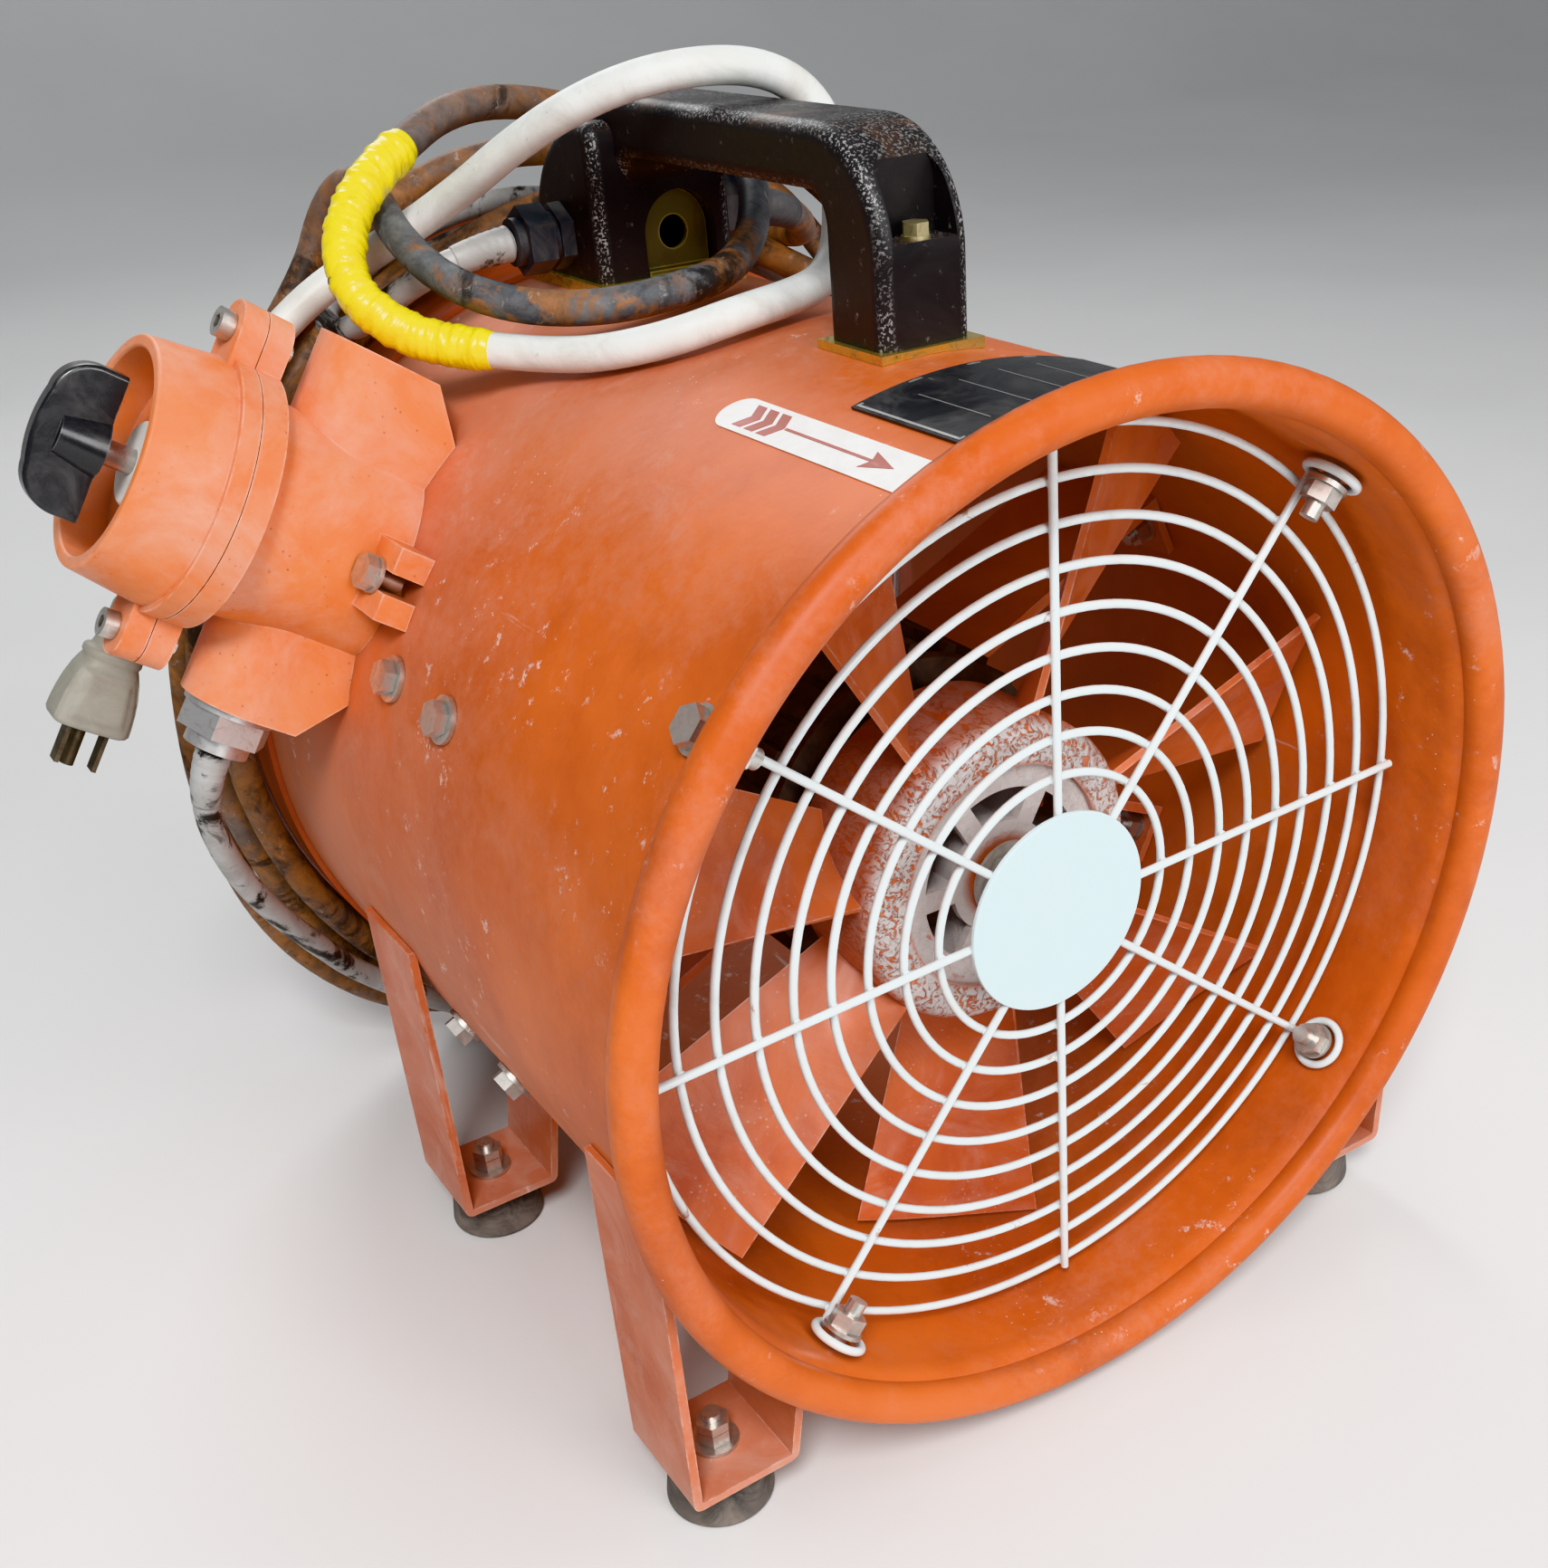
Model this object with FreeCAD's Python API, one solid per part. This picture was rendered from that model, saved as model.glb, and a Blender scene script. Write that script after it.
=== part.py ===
import FreeCAD, Part
import math
import os

# Portable axial ventilator: a duct shell with a wire guard, an impeller on an
# electric motor, strap legs, a carrying handle, a rotary switch and its cord.
#
# Everything is drawn about the fan axis, which runs along +Y from the outlet
# to the inlet, with y = 0 at the back of the guard's front wires and +Z up.
# export() then moves each piece so that the origin is on the floor, in the
# middle of the footprint.  All sizes are millimetres.

Vector = FreeCAD.Vector
AXIS_Y = Vector(0, 1, 0)

# Place of the fan frame in the part's own frame.
FLOOR_DROP = 174.0         # fan axis to the floor
CENTRE_X = -25.64          # middle of the overall width
CENTRE_Y = 154.75          # middle of the overall depth

# Duct
DRUM_R = 155.0             # outside of the drum: 300 mm class fan
SHEET = 2.0
DRUM_IN_R = DRUM_R - SHEET
DRUM_END_Y = 290.0         # back end of the drum, inside the bell's sleeve
OUTLET_FLARE_Y = -17.5
OUTLET_BEAD_Y = -28.0
OUTLET_BEAD_R = 160.5
OUTLET_BEAD_ROLL = 6.5
BELL_START_Y = 272.0
BELL_FLARE_Y = 300.0
INLET_BEAD_Y = 338.0
INLET_BEAD_R = 164.0
INLET_BEAD_ROLL = 6.0
LAP = 0.1                  # play between the drum and the bell's sleeve

# Wire guards
WIRE_R = 1.35
RING_COUNT = 9
RING_FIRST_R = 44.0
RING_PITCH = 12.7
CROSS_ANGLE = 1.5          # two wires square to each other
DIAGONAL_ANGLE = 50.5      # two wires that end in the bolted eyes
GUARD_DISC_R = 33.0
GUARD_DISC_THICK = 1.6
GUARD_DISC_SHIFT = Vector(-2.0, 0, 1.0)   # the disc is welded a little off centre
EYE_R = 8.2
EYE_RADIUS_FROM_AXIS = 150.0
EYE_WIRE_R = 1.45
EYE_Y = -WIRE_R - EYE_R
INLET_GUARD_Y = 290.0

# Impeller
BLADE_COUNT = 7
BLADE_FIRST_ANGLE = 162.0
BLADE_HALF_SWEEP = 11.5    # degrees about the axis, either side of the middle
BLADE_FRONT_Y = 30.0
BLADE_BACK_Y = 60.0
BLADE_THICK = 2.5
BLADE_CAMBER = 3.0
BLADE_TIP_R = 149.5
HUB_R = 52.0
HUB_WALL = 3.0
HUB_FRONT_Y = 25.0
HUB_BACK_Y = 66.0
HUB_PLATE = 5.0            # front plate, from the hub's front edge
HUB_RECESS = 2.2
HUB_RECESS_R = 38.0
HUB_WINDOW_R = 30.0
HUB_BOSS_R = 17.0

# Motor
SHAFT_R = 7.5
SHAFT_FRONT_Y = 16.0
SHAFT_BACK_Y = 197.5
MOTOR_FRONT_Y = 82.0
MOTOR_BACK_Y = 192.0
MOTOR_CORE_R = 50.0
MOTOR_SKIN_R = 55.0
MOTOR_FIN_R = 60.0
FIN_COUNT = 24
BEARING_R = 17.5
BEARING_WIDE = 11.0
ROTOR_R = 28.5
ROTOR_GAP = 0.5
ARM_ANGLES = (25.0, 155.0, 205.0, 335.0)
ARM_BOLT_YS = (114.0, 155.0)
ARM_START_Y = 105.0
ARM_END_Y = 164.0

# Legs
LEG_WIDE = 40.5
LEG_OUT_X = 153.0
LEG_IN_X = 115.0
LEG_PLATE_Z = -155.0
LEG_THICK = 3.0
LEG_FRONT_YS = (-12.0, 164.3)
FOOT_R = 18.0

# Handle
HANDLE_BASE_Z = 157.0
HANDLE_TOP_Z = 214.5
HANDLE_X = (-12.0, 20.0)
BOX_X = (-22.0, 31.0)
HANDLE_FRONT_Y = 63.0
FRONT_LEG_BACK_Y = 92.0
BOX_FRONT_Y = 216.5
BOX_BACK_Y = 268.0
WINDOW_TOP_Z = 196.0
BOX_TOP_Z = 207.0
GRIP_FRONT_BEND = 34.0      # corner radii in the side view
GRIP_BACK_BEND = 54.0
WINDOW_BEND = 9.0
BOX_BACK_BEND = 44.5
BOX_FRONT_BEND = 6.0
GRIP_EDGE = 5.0             # rounding along both sides
GLAND_Y = 243.0
GLAND_Z = 170.5
GLAND_LONG = 20.0
PLATE_LIP = 2.2             # how far the plated feet show round the handle

# Switch: local x runs up round the drum, local y is the fan's y and local z
# points away from the fan axis.
SWITCH_ANGLE = 145.0
SWITCH_Y = 207.0
SWITCH_BODY_R = 35.0
SPLIT_H = 211.0
MOUTH_H = 240.0
FOOT_BOLT_Y = 41.0
FLANGE_R = 42.0
SPIGOT_R = 19.5
SPIGOT_H = 173.5
SPIGOT_REACH = 61.0
SKIRT_FOOT = (38.0, 142.0)  # the skirt's lower edge runs straight from here,
SKIRT_TIP_H = 160.8         # inside the drum's outline, to the spigot's end
SWITCH_GLAND_H = 176.0
SWITCH_GLAND_END = -77.0
KNOB_HALF = 23.0           # half the length of the finger wing
KNOB_THICK = 10.5
KNOB_FOOT_H = 241.5
KNOB_CROWN_H = 261.0

# Cord
CORD_R = 5.5
LINK_R = 4.5
TAPE_R = 7.4
PLUG_NECK = 10.0
PLUG_LONG = 34.0
PLUG_HALF_WIDE = 13.0
PLUG_HALF_THICK = 9.5
COIL_FRONT_Y = 271.5
COIL_BACK_Y = 326.5
COIL_IN_R = 157.7
COIL_OUT_R = 191.5
COIL_RISE = 22.0


# ---------------------------------------------------------------- helpers

def export(name, *solids):
    """Move the solids of one piece into the part's frame and write them."""
    shape = solids[0] if len(solids) == 1 else Part.makeCompound(list(solids))
    shape = shape.copy()
    shape.translate(Vector(-CENTRE_X, -CENTRE_Y, FLOOR_DROP))
    shape.exportStep("parts/" + name + ".step")


def radial(angle):
    """Unit vector away from the fan axis at an angle from +X towards +Z."""
    a = math.radians(angle)
    return Vector(math.cos(a), 0, math.sin(a))


def rod(start, direction, radius, length):
    return Part.makeCylinder(radius, length, start, direction)


def tube_y(r_out, r_in, y0, y1):
    """Ring about the fan axis between two stations."""
    outer = rod(Vector(0, y0, 0), AXIS_Y, r_out, y1 - y0)
    return outer.cut(rod(Vector(0, y0 - 1, 0), AXIS_Y, r_in, y1 - y0 + 2))


def disc_y(radius, y0, y1):
    return rod(Vector(0, y0, 0), AXIS_Y, radius, y1 - y0)


def box(x0, x1, y0, y1, z0, z1):
    return Part.makeBox(x1 - x0, y1 - y0, z1 - z0, Vector(x0, y0, z0))


def hexagon(start, direction, across_flats, height):
    """Hexagonal prism that starts at a point and runs along a direction."""
    corner_r = across_flats / math.sqrt(3)
    points = []
    for k in range(7):
        a = math.radians(60 * k)
        points.append(Vector(corner_r * math.cos(a), corner_r * math.sin(a), 0))
    prism = Part.Face(Part.makePolygon(points)).extrude(Vector(0, 0, height))
    turn = FreeCAD.Rotation(Vector(0, 0, 1), direction)
    prism.Placement = FreeCAD.Placement(start, turn)
    return prism


def fuse(first, *others):
    """One solid out of several that touch or cross."""
    return first.multiFuse(list(others)).removeSplitter()


def line(p, q):
    return Part.LineSegment(p, q).toShape()


def arc(p, middle, q):
    return Part.Arc(p, middle, q).toShape()


def at(radius, y):
    """Point of a profile that is turned about the fan axis."""
    return Vector(radius, y, 0)


def turned(edges):
    face = Part.Face(Part.Wire(edges))
    return face.revolve(Vector(0, 0, 0), AXIS_Y, 360)


def rounded(solid, radius, wanted):
    """Fillet the edges that a test picks."""
    return solid.makeFillet(radius, [e for e in solid.Edges if wanted(e)])


def bolt_and_nut(point, direction, stack):
    """Bolt along a direction, as (kind, from, to, size) slices from a point."""
    pieces = []
    for kind, start, end, size in stack:
        foot = point + direction * start
        if kind == "hex":
            pieces.append(hexagon(foot, direction, size, end - start))
        else:
            pieces.append(rod(foot, direction, size, end - start))
    return fuse(*pieces)


# ------------------------------------------------------------------- duct

def bolt_hole(angle, y, radius=3.1):
    return rod(radial(angle) * 140 + Vector(0, y, 0), radial(angle), radius, 30)


def guard_bolt_angles():
    return [DIAGONAL_ANGLE + 90 * k for k in range(4)]


def drum_shell():
    """Rolled sleeve that flares into a beaded rim at the outlet."""
    flare = OUTLET_FLARE_Y
    sheet = turned([
        line(at(DRUM_R, DRUM_END_Y), at(DRUM_R, flare)),
        arc(at(DRUM_R, flare), at(DRUM_R + 0.9, flare - 5), at(DRUM_R + 3.4, flare - 9)),
        line(at(DRUM_R + 3.4, flare - 9), at(DRUM_R + 1.8, flare - 10)),
        arc(at(DRUM_R + 1.8, flare - 10), at(DRUM_IN_R + 0.9, flare - 5.6), at(DRUM_IN_R, flare)),
        line(at(DRUM_IN_R, flare), at(DRUM_IN_R, DRUM_END_Y)),
        line(at(DRUM_IN_R, DRUM_END_Y), at(DRUM_R, DRUM_END_Y)),
    ])
    bead = Part.makeTorus(OUTLET_BEAD_R, OUTLET_BEAD_ROLL, Vector(0, OUTLET_BEAD_Y, 0), AXIS_Y)
    shell = sheet.fuse(bead)
    for angle in guard_bolt_angles():
        shell = shell.cut(bolt_hole(angle, EYE_Y))
    for angle in ARM_ANGLES:
        for y in ARM_BOLT_YS:
            shell = shell.cut(bolt_hole(angle, y))
    return shell


def inlet_bell():
    """Back section: a sleeve over the drum's end that flares to a bead."""
    inner = DRUM_R + LAP
    outer = inner + SHEET
    flare = BELL_FLARE_Y
    sheet = turned([
        line(at(outer, BELL_START_Y), at(outer, flare)),
        arc(at(outer, flare), at(outer + 1.2, flare + 18), at(outer + 4.6, flare + 34)),
        line(at(outer + 4.6, flare + 34), at(outer + 3.0, flare + 35)),
        arc(at(outer + 3.0, flare + 35), at(inner + 1.1, flare + 18.5), at(inner, flare)),
        line(at(inner, flare), at(inner, BELL_START_Y)),
        line(at(inner, BELL_START_Y), at(outer, BELL_START_Y)),
    ])
    bead = Part.makeTorus(INLET_BEAD_R, INLET_BEAD_ROLL, Vector(0, INLET_BEAD_Y, 0), AXIS_Y)
    return sheet.fuse(bead)


# ----------------------------------------------------------------- guards

def guard_rings(y):
    """Rings of wire, one solid each, with their front at y = station."""
    rings = []
    for k in range(RING_COUNT):
        radius = RING_FIRST_R + RING_PITCH * k
        rings.append(Part.makeTorus(radius, WIRE_R, Vector(0, y + WIRE_R, 0), AXIS_Y))
    return rings


def spoke(angle, r0, r1, y):
    return rod(radial(angle) * r0 + Vector(0, y, 0), radial(angle), WIRE_R, r1 - r0)


def outlet_spokes():
    """Eight wires in front of the rings; four of them end at a bolted eye."""
    last_ring_r = RING_FIRST_R + RING_PITCH * (RING_COUNT - 1)
    wires = []
    for k in range(4):
        wires.append(spoke(CROSS_ANGLE + 90 * k, 25, last_ring_r + WIRE_R, -WIRE_R))
    for angle in guard_bolt_angles():
        wires.append(spoke(angle, 25, EYE_RADIUS_FROM_AXIS - EYE_WIRE_R, -WIRE_R))
        centre = radial(angle) * EYE_RADIUS_FROM_AXIS + Vector(0, EYE_Y, 0)
        wires.append(Part.makeTorus(EYE_R, EYE_WIRE_R, centre, radial(angle)))
    return wires


def guard_disc():
    front = -2 * WIRE_R - GUARD_DISC_THICK
    disc = disc_y(GUARD_DISC_R, front, -2 * WIRE_R)
    disc = rounded(disc, 0.7, lambda e: abs(e.BoundBox.YMax - front) < 0.01 and e.Length > 100)
    disc.translate(GUARD_DISC_SHIFT)
    return disc


def guard_bolts():
    """Hexagon bolts through the drum wall, the eyes and their nuts."""
    stack = (
        ("round", 136.5, 157.0, 3.0),
        ("hex", 141.3, 146.3, 10.0),
        ("round", 146.3, 147.8, 6.5),
        ("round", DRUM_R + 0.05, 156.6, 7.0),
        ("hex", 156.6, 160.6, 10.0),
    )
    return [bolt_and_nut(Vector(0, EYE_Y, 0), radial(a), stack) for a in guard_bolt_angles()]


def inlet_guard():
    """Back guard: rings, and eight wires whose ends are welded to the bell."""
    parts = guard_rings(INLET_GUARD_Y)
    for k in range(8):
        y = INLET_GUARD_Y + 3 * WIRE_R
        parts.append(spoke(CROSS_ANGLE + 45 * k, 25, DRUM_R + LAP - 0.1, y))
    y = INLET_GUARD_Y + 4 * WIRE_R
    parts.append(disc_y(GUARD_DISC_R, y, y + GUARD_DISC_THICK))
    return parts


# --------------------------------------------------------------- impeller

def impeller_hub():
    """Cup with a rounded front edge and a boss on the shaft."""
    cup = disc_y(HUB_R, HUB_FRONT_Y, HUB_BACK_Y)
    cup = rounded(cup, 7.0, lambda e: abs(e.BoundBox.YMax - HUB_FRONT_Y) < 0.01 and e.Length > 100)
    cup = cup.cut(disc_y(HUB_R - HUB_WALL, HUB_FRONT_Y + HUB_PLATE, HUB_BACK_Y + 1))
    cup = cup.cut(disc_y(HUB_RECESS_R, HUB_FRONT_Y - 1, HUB_FRONT_Y + HUB_RECESS))
    windows = tube_y(HUB_WINDOW_R, HUB_BOSS_R + 2, HUB_FRONT_Y - 1, HUB_FRONT_Y + HUB_PLATE + 1)
    boss = disc_y(HUB_BOSS_R, HUB_FRONT_Y + HUB_RECESS, HUB_BACK_Y - 2)
    ribs = []
    for k in range(6):
        web = box(15, HUB_R - HUB_WALL + 1, HUB_FRONT_Y + HUB_RECESS, HUB_BACK_Y - 12, -1.5, 1.5)
        web.rotate(Vector(0, 0, 0), AXIS_Y, 60 * k)
        ribs.append(web)
        bridge = box(0, HUB_R, HUB_FRONT_Y - 2, HUB_FRONT_Y + HUB_PLATE + 2, -3.5, 3.5)
        bridge.rotate(Vector(0, 0, 0), AXIS_Y, 60 * k)
        windows = windows.cut(bridge)
    cup = fuse(cup.cut(windows), boss, *ribs)
    return cup.cut(disc_y(SHAFT_R, HUB_FRONT_Y - 5, HUB_BACK_Y + 5))


def blade_section(radius, angle):
    """Closed cambered outline of a blade in the plane square to its radius."""
    out = radial(angle)
    along = Vector(-out.z, 0, out.x)
    half = radius * math.tan(math.radians(BLADE_HALF_SWEEP))
    front = out * radius + along * half + Vector(0, BLADE_FRONT_Y, 0)
    back = out * radius - along * half + Vector(0, BLADE_BACK_Y, 0)
    chord = front - back
    lift = chord.cross(out).normalize()
    shift = lift * BLADE_THICK
    middle = (front + back) * 0.5 + lift * BLADE_CAMBER
    return Part.Wire([
        arc(back, middle, front),
        line(front, front + shift),
        arc(front + shift, middle + shift, back + shift),
        line(back + shift, back),
    ])


def impeller_blade(angle):
    """Twisted sheet blade, trimmed to the hub and to the tip circle."""
    sections = [blade_section(r, angle) for r in (44.0, 80.0, 116.0, 152.0)]
    blade = Part.makeLoft(sections, True, False)
    blade = blade.common(tube_y(BLADE_TIP_R, HUB_R + 0.02, 0, 100))
    return blade


def impeller_nut():
    nut = hexagon(Vector(0, HUB_FRONT_Y - 8.5, 0), AXIS_Y, 19, 7)
    washer = disc_y(13, HUB_FRONT_Y - 1.5, HUB_FRONT_Y)
    return fuse(nut, washer).cut(disc_y(SHAFT_R, 0, 60))


# ------------------------------------------------------------------ motor

def finned_outline():
    """Outline of the motor's skin: a circle with square cooling fins."""
    points = []
    step = 360.0 / FIN_COUNT
    for k in range(FIN_COUNT):
        for part_turn, radius in ((0.0, MOTOR_SKIN_R), (0.3, MOTOR_SKIN_R),
                                  (0.38, MOTOR_FIN_R), (0.62, MOTOR_FIN_R), (0.7, MOTOR_SKIN_R)):
            points.append(radial(step * (k + part_turn)) * radius)
    points.append(points[0])
    return Part.makePolygon(points)


def motor_housing():
    skin = Part.Face(finned_outline()).extrude(Vector(0, MOTOR_BACK_Y - MOTOR_FRONT_Y, 0))
    skin.translate(Vector(0, MOTOR_FRONT_Y, 0))
    return skin.cut(disc_y(MOTOR_CORE_R, MOTOR_FRONT_Y - 1, MOTOR_BACK_Y + 1))


def end_shield(inner_y, sign):
    """Motor end with a bearing seat; sign is the way out of the motor."""
    def slab(radius, depth_in, depth_out):
        y0, y1 = sorted((inner_y - sign * depth_in, inner_y + sign * depth_out))
        return disc_y(radius, y0, y1)
    shield = fuse(slab(MOTOR_SKIN_R + 2, 0, 6), slab(24, 8, 12))
    shield = shield.cut(slab(BEARING_R + 0.02, 9, 6))
    if sign < 0:
        shield = shield.cut(slab(SHAFT_R + 1, 9, 13))
    return shield


def bearing_places():
    """Near and far face of the two bearings along the shaft."""
    front = MOTOR_FRONT_Y - 6
    back = MOTOR_BACK_Y + 6 - BEARING_WIDE
    return ((front, front + BEARING_WIDE), (back, back + BEARING_WIDE))


def bearing_outer_rings():
    return [tube_y(BEARING_R, 14.62, y0, y1) for y0, y1 in bearing_places()]


def bearing_inner_rings():
    """Inner rings with their balls."""
    solids = []
    for y0, y1 in bearing_places():
        solids.append(tube_y(10.58, SHAFT_R, y0 + 0.3, y1 - 0.3))
        for k in range(9):
            solids.append(Part.makeSphere(1.98, radial(40 * k) * 12.6 + Vector(0, (y0 + y1) / 2, 0)))
    return solids


def motor_arm(angle):
    """Pressed bracket from the motor to the drum, with its web off centre."""
    length = ARM_END_Y - ARM_START_Y
    depth = Vector(0, length, 0)
    web = Part.makeBox(4, length, 88.5, Vector(-12, ARM_START_Y, 62))
    foot = Part.makeBox(24, length, 3, Vector(-12, ARM_START_Y, MOTOR_FIN_R + 0.3))
    flange = Part.makeBox(24, length, 3, Vector(-12, ARM_START_Y, 149.4))
    arm = fuse(web, foot, flange)
    for y in ARM_BOLT_YS:
        arm = arm.cut(rod(Vector(0, y, 145), Vector(0, 0, 1), 3.1, 12))
    arm.rotate(Vector(0, 0, 0), AXIS_Y, 90 - angle)
    return arm


def arm_bolts():
    stack = (
        ("round", 140.0, 157.0, 3.0),
        ("hex", 142.9, 147.9, 10.0),
        ("round", 147.9, 149.35, 6.5),
        ("round", DRUM_R + 0.05, 156.6, 7.5),
        ("hex", 156.6, 160.6, 10.0),
    )
    bolts = []
    for angle in ARM_ANGLES:
        for y in ARM_BOLT_YS:
            bolts.append(bolt_and_nut(Vector(0, y, 0), radial(angle), stack))
    return bolts


# ------------------------------------------------------------------- legs

def strap_leg(side, y0):
    """Flat strap bent to a U under the drum; side is -1 left, 1 right."""
    low = LEG_PLATE_Z
    lean = 7.0
    top = low + 42
    outline = (
        (-LEG_OUT_X, -36), (-LEG_OUT_X, low), (-LEG_IN_X, low), (-LEG_IN_X + lean, top),
        (-LEG_IN_X + lean - LEG_THICK - 0.1, top), (-LEG_IN_X - LEG_THICK + 0.7, low + LEG_THICK),
        (-LEG_OUT_X + LEG_THICK, low + LEG_THICK), (-LEG_OUT_X + LEG_THICK, -36),
    )
    corners = [Vector(x, y0, z) for x, z in outline]
    corners.append(corners[0])
    strap = Part.Face(Part.makePolygon(corners)).extrude(Vector(0, LEG_WIDE, 0))

    def outer_bend(edge):
        return edge.BoundBox.YLength > 30 and abs(edge.BoundBox.ZMax - low) < 0.01
    strap = rounded(strap, 3.0, outer_bend)
    strap = strap.cut(disc_y(DRUM_R + 0.05, y0 - 1, y0 + LEG_WIDE + 1))
    middle = foot_middle(y0)
    strap = strap.cut(rod(middle + Vector(0, 0, low - 1), Vector(0, 0, 1), 3.2, 6))
    strap = strap.Solids[0] if len(strap.Solids) == 1 else strap
    return strap if side < 0 else strap.mirror(Vector(0, 0, 0), Vector(1, 0, 0))


def foot_middle(y0):
    return Vector(-(LEG_OUT_X + LEG_IN_X) / 2, y0 + LEG_WIDE / 2, 0)


def rubber_foot(side, y0):
    """Tapered rubber foot with a blind hole for its stud."""
    centre = foot_middle(y0)
    floor = -FLOOR_DROP
    foot = Part.makeCone(FOOT_R, FOOT_R - 2.5, LEG_PLATE_Z - 0.05 - floor, centre + Vector(0, 0, floor))
    foot = rounded(foot, 2.0, lambda e: e.BoundBox.ZMax < floor + 0.1 and e.Length > 50)
    foot = foot.cut(rod(centre + Vector(0, 0, floor + 9), Vector(0, 0, 1), 3.0, 20))
    return foot if side < 0 else foot.mirror(Vector(0, 0, 0), Vector(1, 0, 0))


def foot_studs():
    """Studs with a washer and two nuts on top of each leg's plate."""
    plate = LEG_PLATE_Z + LEG_THICK + 0.05
    stack = (
        ("round", -FLOOR_DROP + 9, plate + 13, 3.0),
        ("round", plate, plate + 1.5, 8.0),
        ("hex", plate + 1.5, plate + 6.5, 10.0),
        ("hex", plate + 6.7, plate + 10.2, 10.0),
        ("round", plate + 6.4, plate + 6.8, 4.5),
    )
    studs = []
    for y0 in LEG_FRONT_YS:
        stud = bolt_and_nut(foot_middle(y0), Vector(0, 0, 1), stack)
        studs.append(stud)
        studs.append(stud.mirror(Vector(0, 0, 0), Vector(1, 0, 0)))
    return studs


# ----------------------------------------------------------------- handle

def runs_across(y, z):
    """Test for the edge along X that stands at a corner of a side view."""
    def test(edge):
        span = edge.BoundBox
        across = span.YLength < 0.01 and span.ZLength < 0.01
        return across and abs(span.YMin - y) < 0.01 and abs(span.ZMin - z) < 0.01
    return test


def along_side(edge):
    """Edges of the two flat sides, without the ones on the drum."""
    span = edge.BoundBox
    flat = span.XLength < 0.01 and span.ZMax > HANDLE_BASE_Z + 1
    return flat and (span.ZMin > HANDLE_BASE_Z + 1 or span.YLength < 0.01)


def grip_block():
    """Grip with its front and back legs, as one arched bar."""
    block = box(*HANDLE_X, HANDLE_FRONT_Y, BOX_BACK_Y, HANDLE_BASE_Z, HANDLE_TOP_Z)
    window = box(HANDLE_X[0] - 1, HANDLE_X[1] + 1, FRONT_LEG_BACK_Y, BOX_FRONT_Y,
                 HANDLE_BASE_Z - 1, WINDOW_TOP_Z)
    block = block.cut(window)
    corners = (
        (GRIP_FRONT_BEND, HANDLE_FRONT_Y, HANDLE_TOP_Z),
        (GRIP_BACK_BEND, BOX_BACK_Y, HANDLE_TOP_Z),
        (WINDOW_BEND, FRONT_LEG_BACK_Y, WINDOW_TOP_Z),
        (WINDOW_BEND, BOX_FRONT_Y, WINDOW_TOP_Z),
    )
    for bend, y, z in corners:
        block = rounded(block, bend, runs_across(y, z))
    return rounded(block, GRIP_EDGE, along_side)


def junction_block():
    """The wider back leg, a little lower than the grip."""
    block = box(*BOX_X, BOX_FRONT_Y, BOX_BACK_Y, HANDLE_BASE_Z, BOX_TOP_Z)
    block = rounded(block, BOX_BACK_BEND, runs_across(BOX_BACK_Y, BOX_TOP_Z))
    block = rounded(block, BOX_FRONT_BEND, runs_across(BOX_FRONT_Y, BOX_TOP_Z))
    return rounded(block, GRIP_EDGE, along_side)


def handle_grip():
    """Moulded grip whose back leg is a hollow junction box."""
    grip = grip_block()
    junction = junction_block()
    body = grip.fuse(junction)
    body = body.cut(box(-18, 27, 227, 264, HANDLE_BASE_Z - 1, 190))
    arch = fuse(box(-4, 23.6, 214, 230, HANDLE_BASE_Z - 1, 170),
                rod(Vector(9.8, 214, 170), AXIS_Y, 13.8, 16))
    body = body.cut(arch)
    recess = fuse(box(-7, 15, 60, 74, 185, 199), rod(Vector(4, 60, 199), AXIS_Y, 11, 14))
    body = body.cut(recess)
    body = body.cut(rod(Vector(4, 68, 170), Vector(0, 0, 1), 2.5, 20))
    for x0, x1 in ((BOX_X[0] - 1, -17), (26, BOX_X[1] + 1)):
        body = body.cut(rod(Vector(x0, GLAND_Y, GLAND_Z), Vector(1, 0, 0), 8.0, x1 - x0))
    return body.removeSplitter()


def handle_plates():
    """Plated feet of the handle, curved to the drum underneath."""
    drum = disc_y(DRUM_R + 0.05, 40, 290)
    lip = PLATE_LIP
    top = HANDLE_BASE_Z - 0.05
    front = box(HANDLE_X[0] - lip, HANDLE_X[1] + lip, HANDLE_FRONT_Y - lip, FRONT_LEG_BACK_Y + lip, 150, top)
    back = box(BOX_X[0] - lip, BOX_X[1] + lip, BOX_FRONT_Y - lip, BOX_BACK_Y + lip, 150, top)
    return [front.cut(drum), back.cut(drum)]


def handle_bracket():
    """Plated arch behind the opening of the junction box, with a hole."""
    y0 = 222.0
    plate = fuse(box(-3.4, 23.0, y0, y0 + 1.6, HANDLE_BASE_Z, 170.3),
                 rod(Vector(9.8, y0, 170.3), AXIS_Y, 13.2, 1.6))
    tab = box(-3.4, 23.0, y0 - 5, y0 + 0.5, HANDLE_BASE_Z, HANDLE_BASE_Z + 1.6)
    plate = fuse(plate, tab)
    return plate.cut(rod(Vector(9.8, y0 - 1, 169.6), AXIS_Y, 5.5, 4))


def handle_screw():
    stack = (("round", 172.0, 186.0, 2.5), ("round", 185.0, 186.0, 4.2), ("hex", 186.0, 189.5, 7.0))
    return bolt_and_nut(Vector(4, 68, 0), Vector(0, 0, 1), stack)


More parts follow.
